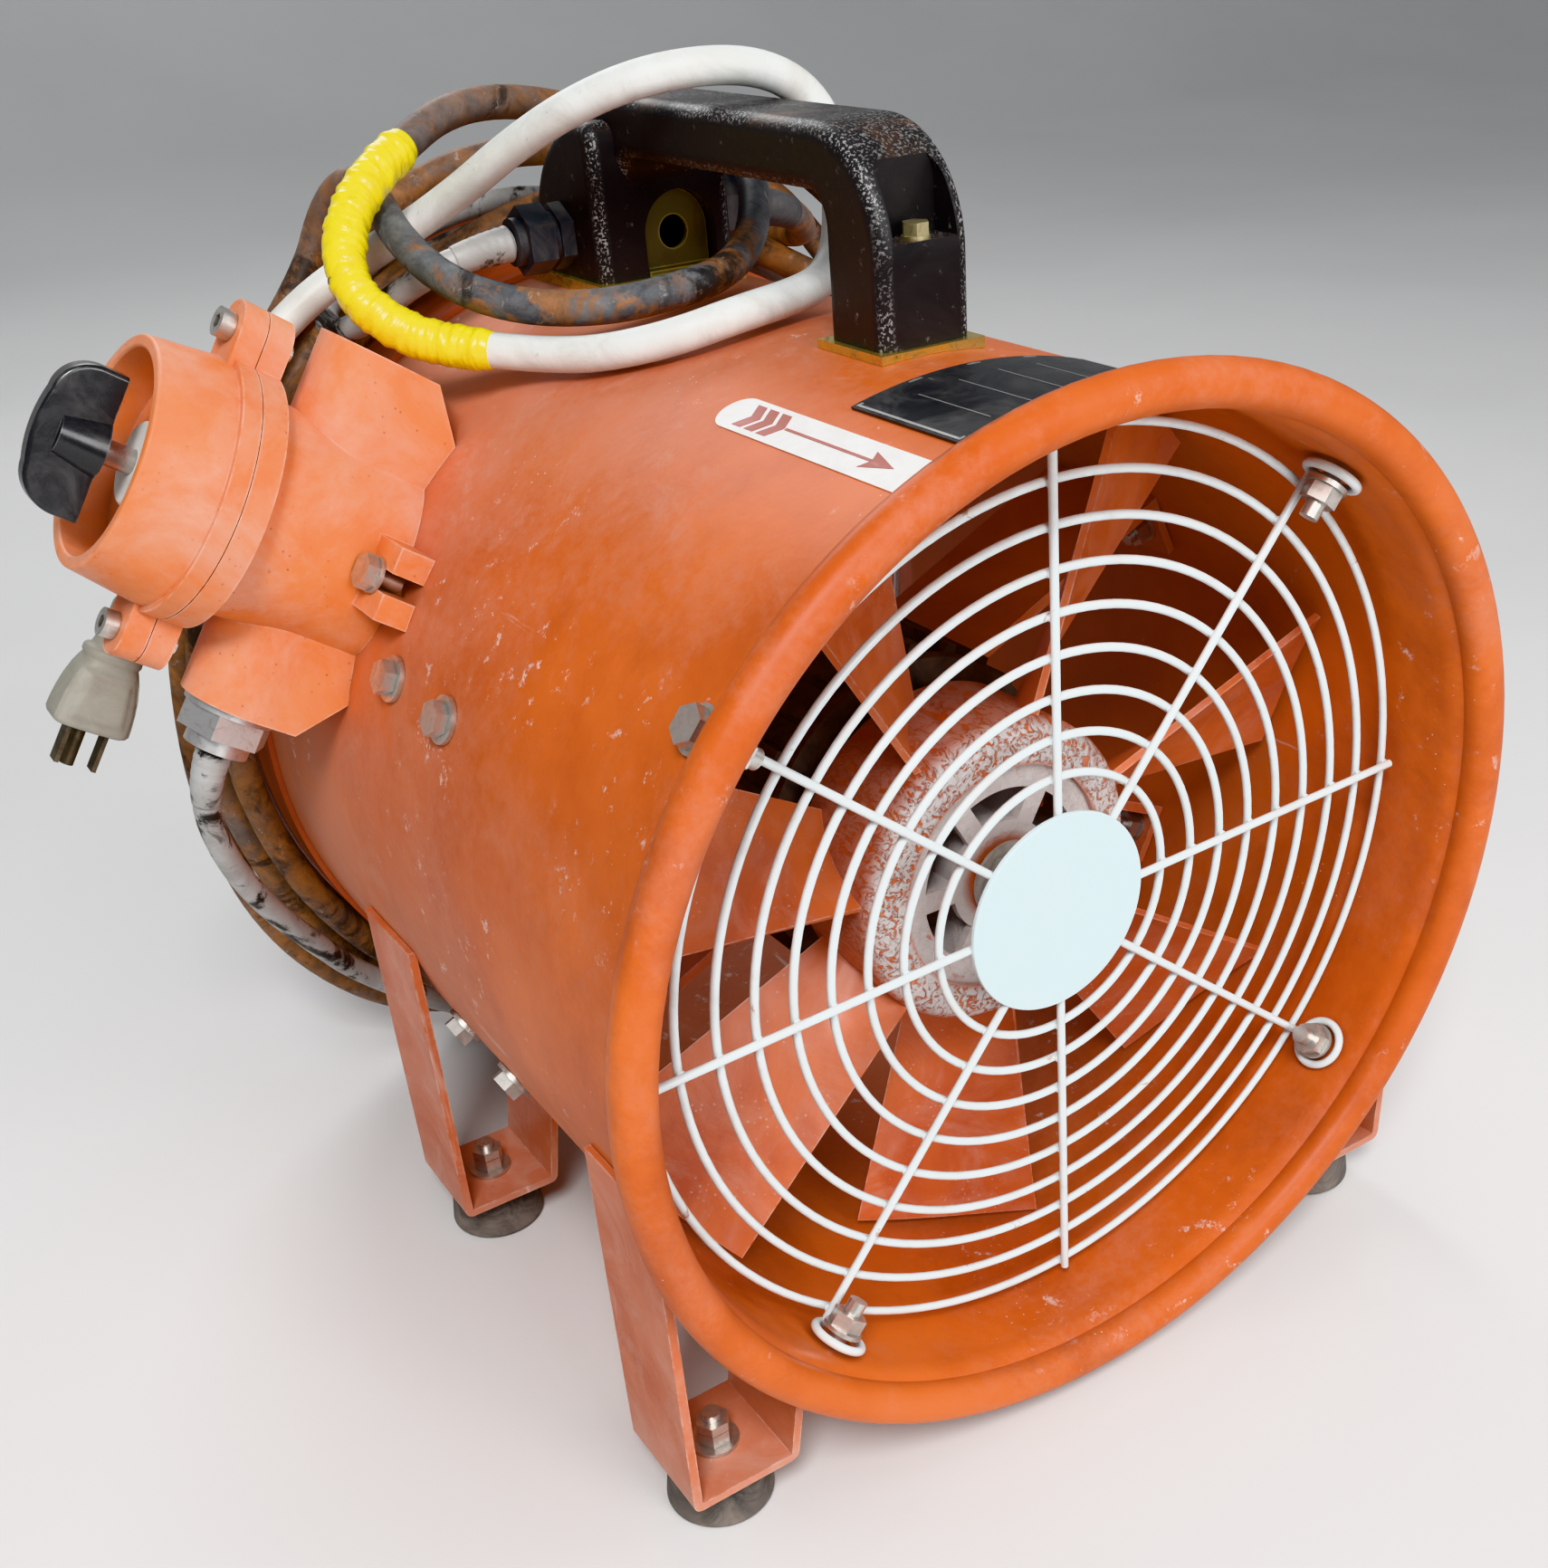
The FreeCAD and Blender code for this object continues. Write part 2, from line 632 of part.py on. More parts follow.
def handle_gland(face_x, sign, bore):
    """Plastic cable gland: a hexagon body, then a hexagon cap."""
    way = Vector(sign, 0, 0)
    start = Vector(face_x, GLAND_Y, GLAND_Z)
    body = fuse(
        rod(start - way * 3.9, way, 7.9, 4.5),
        hexagon(start + way * 0.05, way, 19, 5),
        rod(start + way * 4, way, 8.2, 5),
        hexagon(start + way * 7.5, way, 20, 9.5),
        rod(start + way * 16, way, 7.8, GLAND_LONG - 16),
    )
    return body.cut(rod(start - way * 5, way, bore, 40))


# ----------------------------------------------------------------- switch

def on_drum(shape):
    """Turn a piece drawn in the switch's own axes onto the drum."""
    shape.rotate(Vector(0, 0, 0), AXIS_Y, 90 - SWITCH_ANGLE)
    shape.translate(Vector(0, SWITCH_Y, 0))
    return shape


def drum_under_switch():
    return rod(Vector(0, -60, 0), AXIS_Y, DRUM_R + 0.05, 120)


def lug(z0, z1, reach, half):
    ear = box(0, reach, -half, half, z0, z1)
    return fuse(ear, rod(Vector(reach, 0, z0), Vector(0, 0, 1), half, z1 - z0))


def cover_lugs(z0, z1):
    plus = lug(z0, z1, 49, 9)
    minus = plus.mirror(Vector(0, 0, 0), Vector(1, 0, 0))
    return [plus, minus]


def mounting_lug(sign):
    """Foot beside the body with a slot that is open to the outside."""
    y0, y1 = sorted((sign * 28, sign * 51))
    foot = box(-12, 12, y0, y1, 145, 166)
    slot_y0, slot_y1 = sorted((sign * FOOT_BOLT_Y, sign * 54))
    slot = fuse(box(-3.4, 3.4, slot_y0, slot_y1, 140, 170),
                rod(Vector(0, sign * FOOT_BOLT_Y, 140), Vector(0, 0, 1), 3.4, 30))
    return foot, slot


def spigot_skirt():
    """Flat-sided wedge that stands the two spigots on the drum."""
    foot_x, foot_h = SKIRT_FOOT
    outline = (
        (-foot_x, 140), (foot_x, 140), (foot_x, foot_h), (SPIGOT_REACH, SKIRT_TIP_H),
        (SPIGOT_REACH, SPIGOT_H), (-SPIGOT_REACH, SPIGOT_H), (-SPIGOT_REACH, SKIRT_TIP_H),
        (-foot_x, foot_h), (-foot_x, 140),
    )
    side = Part.Face(Part.makePolygon([Vector(x, -SPIGOT_R, h) for x, h in outline]))
    return side.extrude(Vector(0, 2 * SPIGOT_R, 0))


def switch_body():
    up = Vector(0, 0, 1)
    barrel = rod(Vector(0, 0, 140), up, SWITCH_BODY_R, SPLIT_H - 140)
    collar = rod(Vector(0, 0, 203), up, FLANGE_R, SPLIT_H - 203)
    spigots = rod(Vector(-SPIGOT_REACH, 0, SPIGOT_H), Vector(1, 0, 0), SPIGOT_R, 2 * SPIGOT_REACH)
    skirt = spigot_skirt()
    feet = [mounting_lug(sign) for sign in (-1, 1)]
    body = fuse(barrel, collar, spigots, skirt, *cover_lugs(203, SPLIT_H), *[f[0] for f in feet])
    for foot, slot in feet:
        body = body.cut(slot)
    body = body.cut(rod(Vector(0, 0, 166), up, SWITCH_BODY_R - 3, 60))
    body = body.cut(rod(Vector(-SPIGOT_REACH - 1, 0, SWITCH_GLAND_H), Vector(1, 0, 0), 8.0, 40))
    for x in (-49, 49):
        body = body.cut(rod(Vector(x, 0, 198), up, 2.5, 20))
    return on_drum(body.cut(drum_under_switch()).removeSplitter())


def switch_cover():
    """Round cover with a deep collar round the knob."""
    up = Vector(0, 0, 1)
    base = SPLIT_H + 0.3
    flange = rod(Vector(0, 0, base), up, FLANGE_R, 6)
    collar = Part.makeCone(40.0, 36.5, MOUTH_H - base - 6, Vector(0, 0, base + 6))
    cover = fuse(flange, collar, *cover_lugs(base, base + 7.7))
    cover = cover.cut(rod(Vector(0, 0, 225), up, 32.5, 30))
    cover = cover.cut(rod(Vector(0, 0, 200), up, SWITCH_BODY_R - 3, 21))
    cover = cover.cut(rod(Vector(0, 0, 200), up, 4.06, 60))
    for x in (-49, 49):
        cover = cover.cut(rod(Vector(x, 0, 200), up, 2.7, 30))
    rim = [e for e in cover.Edges if abs(e.BoundBox.ZMin - MOUTH_H) < 0.01]
    return on_drum(cover.makeFillet(1.0, rim))


def switch_screws():
    """Cover screws, and the bolts in the slotted feet."""
    solids = []
    cover_stack = (("round", 200.0, 220.0, 2.5), ("round", 219.1, 223.5, 4.6))
    foot_stack = (("round", 158.0, 167.0, 3.0), ("round", 166.05, 167.5, 6.0), ("hex", 167.5, 171.5, 10.0))
    for x in (-49, 49):
        screw = bolt_and_nut(Vector(x, 0, 0), Vector(0, 0, 1), cover_stack)
        screw = screw.cut(hexagon(Vector(x, 0, 221.5), Vector(0, 0, 1), 4, 5))
        solids.append(on_drum(screw))
    for y in (-FOOT_BOLT_Y, FOOT_BOLT_Y):
        solids.append(on_drum(bolt_and_nut(Vector(0, y, 0), Vector(0, 0, 1), foot_stack)))
    return solids


def switch_block():
    """Contact block inside the body, bored for the spindle."""
    block = box(-18, 18, -18, 18, 166.05, 218)
    block = block.cut(rod(Vector(0, 0, 175), Vector(0, 0, 1), 4.06, 60))
    return on_drum(block)


def switch_bush():
    """Plain bush that seals the spindle in the bottom of the collar."""
    bush = rod(Vector(0, 0, 225.05), Vector(0, 0, 1), 13.5, 6.5)
    bush = rounded(bush, 1.5, lambda e: e.BoundBox.ZMin > 231 and e.Length > 60)
    return on_drum(bush.cut(rod(Vector(0, 0, 220), Vector(0, 0, 1), 4.06, 20)))


def knob_spindle():
    return on_drum(rod(Vector(0, 0, 176), Vector(0, 0, 1), 4.0, 74))


def switch_knob():
    """Finger wing with an arched top and a tapered boss for the spindle."""
    foot, shoulder, crown, half = KNOB_FOOT_H, KNOB_FOOT_H + 6, KNOB_CROWN_H, KNOB_HALF

    def p(x, z):
        return Vector(x, 0, z)
    left = arc(p(-half, shoulder), p(3.2 - half, crown - 5), p(11.5 - half, crown - 1.4))
    right = arc(p(half - 11.5, crown - 1.4), p(half - 3.2, crown - 5), p(half, shoulder))
    outline = Part.Wire([
        line(p(-half, foot), p(-half, shoulder)), left,
        arc(p(11.5 - half, crown - 1.4), p(0, crown), p(half - 11.5, crown - 1.4)), right,
        line(p(half, shoulder), p(half, foot)), line(p(half, foot), p(-half, foot)),
    ])
    wing = Part.Face(outline).extrude(Vector(0, 2 * KNOB_THICK, 0))
    wing.translate(Vector(0, -KNOB_THICK, 0))
    foot_half, crown_half = KNOB_THICK / 2, KNOB_THICK / 2 - 1.8
    section = [Vector(-half - 1, -foot_half, foot), Vector(-half - 1, foot_half, foot),
               Vector(-half - 1, crown_half, crown + 1), Vector(-half - 1, -crown_half, crown + 1)]
    draft = Part.Face(Part.makePolygon(section + section[:1])).extrude(Vector(2 * half + 2, 0, 0))
    wing = wing.common(draft)
    wing = rounded(wing, 1.4, lambda e: e.BoundBox.ZMin > foot + 0.5 and e.BoundBox.XLength > 1)
    boss = Part.makeCone(10.0, 7.0, 13, Vector(0, 0, foot))
    knob = fuse(wing, boss)
    knob = knob.cut(rod(Vector(0, 0, 230), Vector(0, 0, 1), 4.0, 20))
    return on_drum(knob)


def switch_gland():
    """Metal gland in the lower spigot."""
    way = Vector(-1, 0, 0)
    start = Vector(-SPIGOT_REACH, 0, SWITCH_GLAND_H)
    gland = fuse(
        rod(start + way * -12, way, 7.95, 13),
        rod(start + way * 0.05, way, 15, 2.5),
        hexagon(start + way * 2, way, 26, 9),
        rod(start + way * 10, way, 10.5, 6),
    )
    return on_drum(gland.cut(rod(start + way * -13, way, LINK_R, 40)))


# ------------------------------------------------------------------ cords

def switch_point(x, y, z):
    """A point in the switch's axes, seen in the fan's axes."""
    up = radial(SWITCH_ANGLE)
    along = Vector(up.z, 0, -up.x)
    return along * x + AXIS_Y * (y + SWITCH_Y) + up * z


def vectors(points):
    return [p if isinstance(p, Vector) else Vector(*p) for p in points]


def cord_run(name, points, radius):
    """Round tube along straight runs joined by tangent arcs."""
    points = vectors(points)
    edges = []
    start = points[0]
    radii = []
    for before, here, after in zip(points, points[1:], points[2:]):
        way_in = (here - before).normalize()
        way_out = (after - here).normalize()
        turn = way_in.getAngle(way_out)
        reach = 0.45 * min((here - before).Length, (after - here).Length)
        bend = reach / math.tan(turn / 2)
        radii.append(bend)
        enter = here - way_in * reach
        leave = here + way_out * reach
        inside = (way_out - way_in).normalize()
        centre = here + inside * (bend / math.cos(turn / 2))
        edges.append(line(start, enter))
        edges.append(arc(enter, centre - inside * bend, leave))
        start = leave
    edges.append(line(start, points[-1]))
    path = Part.Wire(edges)
    ring = Part.Circle(points[0], (points[1] - points[0]).normalize(), radius).toShape()
    tube = path.makePipeShell([Part.Wire([ring])], True, False)
    ideal = math.pi * radius ** 2 * path.Length
    print(name, "length %.0f" % path.Length, "volume ratio %.4f" % (tube.Volume / ideal),
          "radii", " ".join("%.0f" % r for r in radii))
    return tube


# The tape's two ends lie halfway along a straight run of the cord.
TAPE_TOP = Vector(-72, 249.25, 204)
TAPE_END = Vector(-77.5, 186.25, 149.75)


def link_switch_route():
    """From the switch's gland down beside the drum and into the coil."""
    return (
        switch_point(SWITCH_GLAND_END - 0.05, 0, SWITCH_GLAND_H),
        (-196.5, 209.5, 23.5), (-193, 221, -6), (-180, 238, -40), (-160, 257, -71), (-136, 276, -96),
    )


def link_top_route():
    """From the near gland of the junction box down into the coil."""
    return (
        (BOX_X[0] - GLAND_LONG - 0.05, GLAND_Y, GLAND_Z),
        (-60, 243.5, 169), (-79, 249.5, 161), (-91, 262, 150), (-96, 280, 141),
    )


def tail_route():
    """From the coil round into the far gland of the junction box."""
    return (
        (92.5, 283, 152), (90, 265, 154.5), (81, 252.5, 161), (68, 244.5, 168),
        (BOX_X[1] + GLAND_LONG + 0.05, GLAND_Y, GLAND_Z),
    )


def loop_route():
    """Stray turn of the coil, pulled forward round the junction box."""
    return (
        (-77, 280, 190), (-82, 255, 188), (-86, 231, 179), (-82, 205, 168), (-68, 184, 161.5),
        (-47, 166, 160.5), (-24, 160, 163), (0, 168, 164.5), (19, 183, 171), (33, 203, 182),
        (44, 226, 190), (52, 252, 190), (58, 278, 187),
    )


def brown_route():
    """From the coil's top to the taped splice."""
    return (
        (14, 283, 202), (-8, 275, 208.5), (-33, 266, 212.5), (-55, 257.5, 211), TAPE_TOP,
    )


def tape_route():
    """Taped splice that turns down to the drum's top."""
    return (
        TAPE_TOP, (-89, 241, 197), (-103, 232, 184), (-109, 222, 170), (-103, 211, 158.5),
        (-89, 199.5, 151), TAPE_END,
    )


def white_route():
    """From the splice through the handle, over it and down to the plug."""
    return (
        TAPE_END, (-66, 173, 148.5), (-58, 150, 151), (-43, 131, 156), (-24, 122, 161.5),
        (-3, 126, 162.5), (12, 131, 164), (24, 139, 171), (31, 147, 186), (33, 152, 201),
        (28, 156.5, 214.5), (14, 158.5, 223), (-5, 161.5, 225.5), (-25, 172, 223), (-40, 192, 214.5),
        (-50, 215, 203), (-58, 236, 191), (-70, 252.5, 180), (-88, 261.5, 170), (-113, 264, 158),
        (-140, 263.5, 137), (-165, 263, 109), (-184, 263, 83), (-198, 263, 63),
    )


def plug_frame():
    """Start of the plug and the way it points."""
    before, start = vectors(white_route()[-2:])
    return start, (start - before).normalize()


def place_plug(shape):
    start, way = plug_frame()
    turn = FreeCAD.Rotation(Vector(0, 0, 1), way)
    shape.Placement = FreeCAD.Placement(start, turn)
    return shape


def plug_body():
    """Moulded plug: a ribbed neck that widens into the pin block."""
    neck = Part.makeCone(CORD_R + 1.2, CORD_R + 3.5, PLUG_NECK + 2)
    block = box(-PLUG_HALF_WIDE, PLUG_HALF_WIDE, -PLUG_HALF_THICK, PLUG_HALF_THICK, PLUG_NECK, PLUG_LONG)
    block = rounded(block, 4.0, lambda e: e.BoundBox.ZLength > 20)
    block = rounded(block, 2.5, lambda e: e.BoundBox.ZLength < 0.01)
    return place_plug(fuse(neck, block))


def plug_pins():
    """Two flat pins and a round earth pin."""
    face = PLUG_LONG + 0.02
    pins = [box(x - 0.75, x + 0.75, -5.0, 1.2, face, face + 14) for x in (-6.35, 6.35)]
    pins.append(rod(Vector(0, 5.2, face), Vector(0, 0, 1), 2.4, 16))
    return [place_plug(pin) for pin in pins]


def cord_coil():
    """Outer shape of the turns that hang round the back of the drum."""
    wide = COIL_BACK_Y - COIL_FRONT_Y
    outer = rod(Vector(0, COIL_FRONT_Y, COIL_RISE), AXIS_Y, COIL_OUT_R, wide)
    coil = outer.cut(disc_y(COIL_IN_R, COIL_FRONT_Y - 1, BELL_FLARE_Y + 1))
    flare_r = COIL_IN_R + 2.2
    return coil.cut(disc_y(flare_r, BELL_FLARE_Y, COIL_BACK_Y + 1))


# ----------------------------------------------------------------- labels

def drum_band(y0, y1, from_angle, to_angle, thick):
    """Thin curved plate on the drum between two angles."""
    r0 = DRUM_R + 0.05
    section = Part.Face(Part.makePolygon([at(r0, y0), at(r0 + thick, y0), at(r0 + thick, y1),
                                          at(r0, y1), at(r0, y0)]))
    band = section.revolve(Vector(0, 0, 0), AXIS_Y, to_angle - from_angle)
    band.rotate(Vector(0, 0, 0), AXIS_Y, -to_angle)
    return band


def nameplate():
    return drum_band(-6, 42, 74, 104, 0.8)


def flow_arrow():
    """Blank label with one round end; the arrow is only printed on it."""
    middle = 109.8
    outline = fuse(box(-7, 7, -9, 77, 150, 160), rod(Vector(0, 77, 150), Vector(0, 0, 1), 7, 10))
    outline.rotate(Vector(0, 0, 0), AXIS_Y, 90 - middle)
    return outline.common(tube_y(DRUM_R + 0.35, DRUM_R + 0.05, -20, 100))


# ------------------------------------------------------------------ build

def build():
    os.makedirs("parts", exist_ok=True)

    export("drum_shell", drum_shell())
    export("inlet_bell", inlet_bell())
    export("guard_rings", *guard_rings(0))
    export("guard_spokes", *outlet_spokes())
    export("guard_disc", guard_disc())
    export("guard_bolts", *guard_bolts())
    export("inlet_guard", *inlet_guard())

    export("impeller_hub", impeller_hub())
    for k in range(BLADE_COUNT):
        angle = BLADE_FIRST_ANGLE + 360.0 / BLADE_COUNT * k
        export("impeller_blade_%d" % (k + 1), impeller_blade(angle))
    export("impeller_nut", impeller_nut())
    export("motor_shaft", disc_y(SHAFT_R, SHAFT_FRONT_Y, SHAFT_BACK_Y))
    export("motor_rotor", tube_y(ROTOR_R, SHAFT_R, 100, 170))
    export("motor_stator", tube_y(MOTOR_CORE_R, ROTOR_R + ROTOR_GAP, 98, 172))
    export("motor_windings", tube_y(46, 33, 90, 98), tube_y(46, 33, 172, 180))
    export("motor_housing", motor_housing())
    export("motor_end_front", end_shield(MOTOR_FRONT_Y, -1))
    export("motor_end_back", end_shield(MOTOR_BACK_Y, 1))
    export("bearing_outer_rings", *bearing_outer_rings())
    export("bearing_inner_rings", *bearing_inner_rings())
    export("motor_arms", *[motor_arm(angle) for angle in ARM_ANGLES])
    export("arm_bolts", *arm_bolts())

    for end, y0 in zip(("front", "back"), LEG_FRONT_YS):
        for name, side in (("left", -1), ("right", 1)):
            export("leg_%s_%s" % (end, name), strap_leg(side, y0))
            export("foot_%s_%s" % (end, name), rubber_foot(side, y0))
    export("foot_studs", *foot_studs())

    export("handle_grip", handle_grip())
    export("handle_plates", *handle_plates())
    export("handle_bracket", handle_bracket())
    export("handle_screw", handle_screw())
    export("handle_glands", handle_gland(BOX_X[0], -1, LINK_R), handle_gland(BOX_X[1], 1, CORD_R))

    export("switch_body", switch_body())
    export("switch_cover", switch_cover())
    export("switch_screws", *switch_screws())
    export("switch_block", switch_block())
    export("switch_bush", switch_bush())
    export("switch_gland", switch_gland())
    export("switch_knob", switch_knob())
    export("knob_spindle", knob_spindle())

    export("cord_coil", cord_coil())
    export("cord_link", cord_run("link, switch end", link_switch_route(), LINK_R),
           cord_run("link, top end", link_top_route(), LINK_R))
    export("cord_tail", cord_run("tail", tail_route(), CORD_R))
    export("cord_loop", cord_run("loop", loop_route(), CORD_R))
    export("cord_brown", cord_run("brown", brown_route(), CORD_R))
    export("splice_tape", cord_run("tape", tape_route(), TAPE_R))
    export("cord_white", cord_run("white", white_route(), CORD_R))
    export("plug_body", plug_body())
    export("plug_pins", *plug_pins())

    export("nameplate", nameplate())
    export("flow_arrow", flow_arrow())


build()
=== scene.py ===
import math

import bmesh
import bpy
from mathutils import Matrix, Vector, noise


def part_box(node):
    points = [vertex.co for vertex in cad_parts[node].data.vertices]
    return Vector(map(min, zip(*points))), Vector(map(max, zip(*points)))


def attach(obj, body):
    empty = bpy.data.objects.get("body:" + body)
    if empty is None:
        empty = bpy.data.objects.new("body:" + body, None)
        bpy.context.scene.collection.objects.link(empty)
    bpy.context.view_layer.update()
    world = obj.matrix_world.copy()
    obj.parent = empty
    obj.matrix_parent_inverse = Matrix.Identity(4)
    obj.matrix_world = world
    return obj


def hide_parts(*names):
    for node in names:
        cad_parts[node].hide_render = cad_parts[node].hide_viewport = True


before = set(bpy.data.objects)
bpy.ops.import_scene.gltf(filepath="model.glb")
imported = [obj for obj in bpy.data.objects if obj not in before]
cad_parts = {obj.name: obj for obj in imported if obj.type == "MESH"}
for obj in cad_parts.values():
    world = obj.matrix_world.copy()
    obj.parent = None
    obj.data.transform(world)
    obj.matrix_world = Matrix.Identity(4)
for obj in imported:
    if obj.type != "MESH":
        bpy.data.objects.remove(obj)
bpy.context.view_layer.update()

# Portable axial ventilator.  The routes below are in millimetres about the
# fan axis: +Y from the outlet to the inlet, y = 0 at the back of the guard's
# front wires.  fan() turns them into metres in the frame of the CAD model.
MM = 0.001
DRUM_LOW, DRUM_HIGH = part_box("drum_shell")
RIM_FRONT_Y = -34.5                    # front of the outlet's bead, fan frame
AXIS = Vector(((DRUM_LOW.x + DRUM_HIGH.x) / 2, DRUM_LOW.y - RIM_FRONT_Y * MM,
               (DRUM_LOW.z + DRUM_HIGH.z) / 2))
DRUM_R = 155.0

CORD_R = 5.5
LINK_R = 4.5


def fan(x, y, z):
    return Vector((x, y, z)) * MM + AXIS


def polar(angle, radius, y):
    """Point at an angle from +X towards +Z about the fan axis."""
    a = math.radians(angle)
    return fan(radius * math.cos(a), y, radius * math.sin(a))


# ------------------------------------------------------------------ camera

CAMERA_PLACE = fan(-297.0, -355.5, 272.6)
CAMERA_AZIMUTH = math.radians(-32.82)
CAMERA_ELEVATION = math.radians(32.15)
CAMERA_ROLL = math.radians(-3.34)


def make_camera():
    data = bpy.data.cameras.new("camera")
    camera = bpy.data.objects.new("camera", data)
    bpy.context.scene.collection.objects.link(camera)
    a, e = CAMERA_AZIMUTH, CAMERA_ELEVATION
    back = Vector((math.sin(a) * math.cos(e), -math.cos(a) * math.cos(e), math.sin(e)))
    level = Vector((math.cos(a), math.sin(a), 0))
    upright = back.cross(level)
    right = level * math.cos(CAMERA_ROLL) + upright * math.sin(CAMERA_ROLL)
    up = back.cross(right)
    turn = Matrix((right, up, back)).transposed().to_4x4()
    camera.matrix_world = Matrix.Translation(CAMERA_PLACE) @ turn
    data.sensor_width = 36
    data.lens = 39.9
    data.shift_x = -0.064
    data.shift_y = 0.115
    data.clip_start = 0.01
    data.clip_end = 50
    bpy.context.scene.camera = camera


# ------------------------------------------------------------ cord routes

SWITCH_ANGLE = 145.0
SWITCH_Y = 207.0


def switch_point(x, y, z):
    """Local x runs up round the drum, z away from the fan axis."""
    a = math.radians(SWITCH_ANGLE)
    return fan(math.sin(a) * x + math.cos(a) * z, y + SWITCH_Y, -math.cos(a) * x + math.sin(a) * z)


LINK_SWITCH = [
    switch_point(-77.05, 0, 176), fan(-196.5, 209.5, 23.5), fan(-193, 221, -6),
    fan(-180, 238, -40), fan(-161, 256, -73),
]
LINK_TOP = [
    fan(-42.05, 243, 170.5), fan(-60, 243.5, 169), fan(-79, 249.5, 161), fan(-91, 262, 150),
    fan(-97, 281, 143), fan(-95, 299, 148.5), fan(-78, 309, 157),
]
TAIL = [
    fan(90, 291, 152), fan(92.5, 279, 152), fan(90, 265, 154.5), fan(81, 252.5, 161),
    fan(68, 244.5, 168), fan(51.05, 243, 170.5),
]
LOOP = [
    fan(-92, 310, 162), fan(-84, 310, 178), fan(-78, 299, 189), fan(-77, 280, 190),
    fan(-82, 255, 188),
    fan(-86, 231, 179), fan(-82, 205, 168), fan(-68, 184, 161.5), fan(-47, 166, 160.5),
    fan(-24, 160, 163), fan(0, 168, 164.5), fan(19, 183, 171), fan(33, 203, 182),
    fan(44, 226, 190),
    fan(52, 252, 190), fan(58, 278, 185),
]
BROWN = [
    fan(14, 283, 202), fan(-8, 275, 208.5), fan(-33, 266, 212.5), fan(-55, 257.5, 211),
    fan(-72, 249.25, 204),
]
TAPE = [
    fan(-72, 249.25, 204), fan(-89, 241, 197), fan(-103, 232, 184), fan(-109, 222, 170),
    fan(-103, 211, 158.5), fan(-89, 199.5, 151), fan(-77.5, 186.25, 149.75),
]
WHITE = [
    fan(-77.5, 186.25, 149.75), fan(-66, 173, 148.5), fan(-58, 150, 151), fan(-43, 131, 156),
    fan(-24, 122, 161.5), fan(-3, 126, 162.5), fan(12, 131, 164), fan(24, 139, 171),
    fan(31, 147, 186), fan(33, 152, 201), fan(28, 156.5, 214.5), fan(14, 158.5, 223),
    fan(-5, 161.5, 225.5), fan(-25, 172, 223), fan(-40, 192, 214.5), fan(-50, 215, 203),
    fan(-58, 236, 191), fan(-70, 252.5, 180), fan(-88, 261.5, 170), fan(-113, 264, 158),
    fan(-140, 263.5, 137), fan(-165, 263, 109), fan(-184, 263, 83), fan(-198, 263, 63),
]

# The turns of the coil as stations: the angle travelled to, the distance
# from the fan axis and the lane along it.  Each turn lies against the drum
# below and fans out above, where nothing ties it.
FIRST_TURNS = (
    (78, 204.5, 284), (66, 206, 285), (50, 199, 286), (35, 195, 289), (15, 186.5, 293.5),
    (-5, 177.5, 298), (-30, 171, 299.5), (-60, 165, 299.6), (-120, 163.7, 299.6), (-145, 164, 298),
    (-180, 164, 297), (-245, 163.7, 297), (-257, 167, 296.5), (-270, 174, 293),
    (-285, 171, 284), (-302, 165.5, 277.5), (-310, 169, 278.5), (-325, 176.5, 284),
    (-345, 173, 287.5), (-365, 166, 288.5), (-385, 164, 288.6), (-470, 163.8, 288.6),
    (-500, 163.7, 283), (-515, 164, 279), (-540, 166, 279), (-555, 168, 281), (-567, 172, 286),
    (-578, 176, 293), (-590, 180, 301),
)
LAST_TURNS = (
    (-652, 191.5, 292), (-664, 190, 301), (-685, 181, 307), (-705, 174.5, 308.5),
    (-725, 168, 310), (-765, 164.5, 310.4), (-825, 165, 310), (-840, 171, 309), (-856, 178, 307.5),
    (-867, 175, 307), (-877, 171.5, 307), (-900, 169, 308), (-930, 167, 309), (-950, 165.5, 309.5),
    (-965, 164.5, 310), (-990, 165, 311.5), (-1005, 170, 319), (-1045, 168.5, 321),
    (-1080, 166.5, 321), (-1170, 166, 321), (-1185, 172, 320.5), (-1198, 183, 320),
    (-1210, 189, 319.5), (-1222, 188.5, 319), (-1233, 185, 318.5), (-1244, 179.5, 318.5),
    (-1258, 174, 319), (-1275, 171.5, 319.5), (-1300, 171.5, 320), (-1317, 174, 320),
    (-1330, 184, 320), (-1342, 190, 315), (-1355, 189, 311.5), (-1366, 181, 308.5),
    (-1377, 176.5, 303),
)
LINK_TURN = (
    (106, 175, 313), (96, 175, 311), (86, 171, 305), (75, 166, 300), (58, 164, 296),
    (42, 163.6, 291),
    (25, 163.6, 282), (5, 163.6, 277.3), (-15, 163.6, 277), (-105, 163.6, 276.8),
    (-118, 167, 276.6), (-130, 171, 276.2), (-145, 174.5, 274),
)
STEP = 15.0              # degrees between two points of a turn, about
SPLINE_CUT = 1.0086      # a spline's points stand this much outside its turns


def wound(stations):
    """Points of a cord that winds from station to station."""
    points = [polar(stations[0][0], stations[0][1] * SPLINE_CUT, stations[0][2])]
    for (a0, r0, y0), (a1, r1, y1) in zip(stations, stations[1:]):
        count = max(1, round(abs(a1 - a0) / STEP))
        for k in range(1, count + 1):
            t = k / count
            radius = (r0 + (r1 - r0) * t) * SPLINE_CUT
            points.append(polar(a0 + (a1 - a0) * t, radius, y0 + (y1 - y0) * t))
    return points


